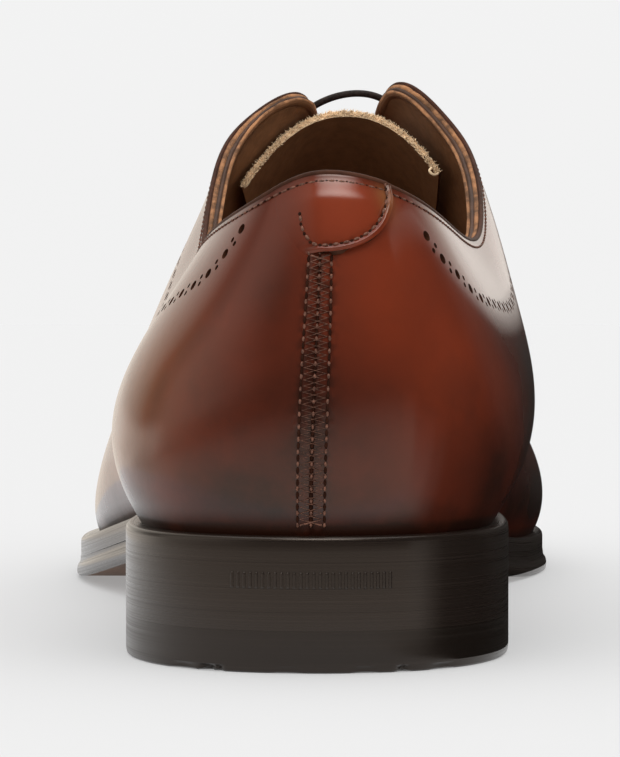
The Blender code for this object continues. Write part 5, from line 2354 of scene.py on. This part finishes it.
def ring_card(name, profile, warmth):
    """Round the shoe from the lateral side past the camera to the medial side."""
    turn = np.linspace(FRONT_CARD_HIGH[0][0], FRONT_CARD_HIGH[-1][0], RING_CARD_POINTS)
    ring = np.stack([np.sin(np.radians(turn)), -np.cos(np.radians(turn))], axis=1)
    rows = []
    shades = []
    for distance, z, least, by_turn, shift in profile:
        rows.append(at_height(distance * ring, z))
        shifted = turn - shift * smooth_step(-turn, 0.0, SHIFT_TURN)
        shades.append(card_shade(np.maximum(least, np.interp(shifted, *np.array(by_turn).T))))
    studio_card(name, rows, shades, warmth)


def bright_card():
    x = np.linspace(*BRIGHT_CARD_X, BRIGHT_CARD_POINTS)
    z = np.linspace(*BRIGHT_CARD_Z, BRIGHT_CARD_POINTS)
    grid_z, grid_x = np.meshgrid(z, x, indexing="ij")
    rows = np.stack([grid_x, np.full_like(grid_x, BRIGHT_CARD_Y), grid_z], axis=-1)
    far = ((grid_x - x.mean()) / np.ptp(x)) ** 2 + ((grid_z - BRIGHT_CARD_PEAK_Z) / np.ptp(z)) ** 2
    glow = BRIGHT_CARD_GAIN * np.maximum(0.0, 1 - BRIGHT_CARD_FALL * far)
    studio_card("card_bright", rows, WORLD_LIGHT + glow)


def add_camera(scene):
    lens = bpy.data.cameras.new("camera")
    lens.sensor_width = SENSOR
    lens.lens = FRAMING_ZOOM * PHOTO_FOCAL_PX * SENSOR / FRAME_HEIGHT_PX
    lens.clip_start = NEAREST_SEEN
    camera = bpy.data.objects.new("camera", lens)
    scene.collection.objects.link(camera)
    camera.location = CAMERA_PLACE
    camera.rotation_euler = Euler((math.pi / 2 - CAMERA_DIP, 0.0, CAMERA_TURN))
    scene.camera = camera


class OXFORD_OT_stage(bpy.types.Operator):
    """Set the floor, the lights and the camera"""

    bl_idname = "oxford.stage"
    bl_label = "Studio"

    def execute(self, context):
        scene = context.scene
        scene.view_settings.view_transform = "Standard"
        floor = add_floor(scene)
        scene.world = white_tent()
        area_light("top_box", TOP_BOX_PLACE, TOP_BOX_TARGET, TOP_BOX_SIZE, TOP_BOX_POWER, floor)
        top_card()
        side_card()
        ring_card("card_floor", FLOOR_CARD_PROFILE, FLOOR_CARD_WARMTH)
        ring_card("card_front", FRONT_CARD_PROFILE, FRONT_CARD_WARMTH)
        bright_card()
        add_camera(scene)
        return {"FINISHED"}


STEPS = (
    OXFORD_OT_stage,
    OXFORD_OT_upper,
    OXFORD_OT_lining,
    OXFORD_OT_collar,
    OXFORD_OT_heel_tab,
    OXFORD_OT_tongue,
    OXFORD_OT_tongue_fringe,
    OXFORD_OT_insole,
    OXFORD_OT_sole,
    OXFORD_OT_heel,
    OXFORD_OT_seat_ridges,
    OXFORD_OT_stitches,
    OXFORD_OT_lace,
)


class OXFORD_PT_panel(bpy.types.Panel):
    """Sizes, colours and steps of the oxford shoe"""

    bl_idname = "OXFORD_PT_panel"
    bl_label = "Oxford Shoe"
    bl_space_type = "VIEW_3D"
    bl_region_type = "UI"
    bl_category = "Shoe"

    def draw(self, context):
        for group in (context.scene.oxford_sizes, context.scene.oxford_colours):
            box = self.layout.box()
            for key in group.bl_rna.properties.keys():
                if key not in ("rna_type", "name"):
                    box.prop(group, key)
        for step in STEPS:
            self.layout.operator(step.bl_idname)


CLASSES = (OxfordSizes, OxfordColours, *STEPS, OXFORD_PT_panel)


def register():
    for cls in CLASSES:
        bpy.utils.register_class(cls)
    bpy.types.Scene.oxford_sizes = bpy.props.PointerProperty(type=OxfordSizes)
    bpy.types.Scene.oxford_colours = bpy.props.PointerProperty(type=OxfordColours)


def unregister():
    del bpy.types.Scene.oxford_sizes
    del bpy.types.Scene.oxford_colours
    for cls in reversed(CLASSES):
        bpy.utils.unregister_class(cls)


def main():
    register()
    for step in STEPS:
        area, name = step.bl_idname.split(".")
        getattr(getattr(bpy.ops, area), name)()


if __name__ == "__main__":
    main()
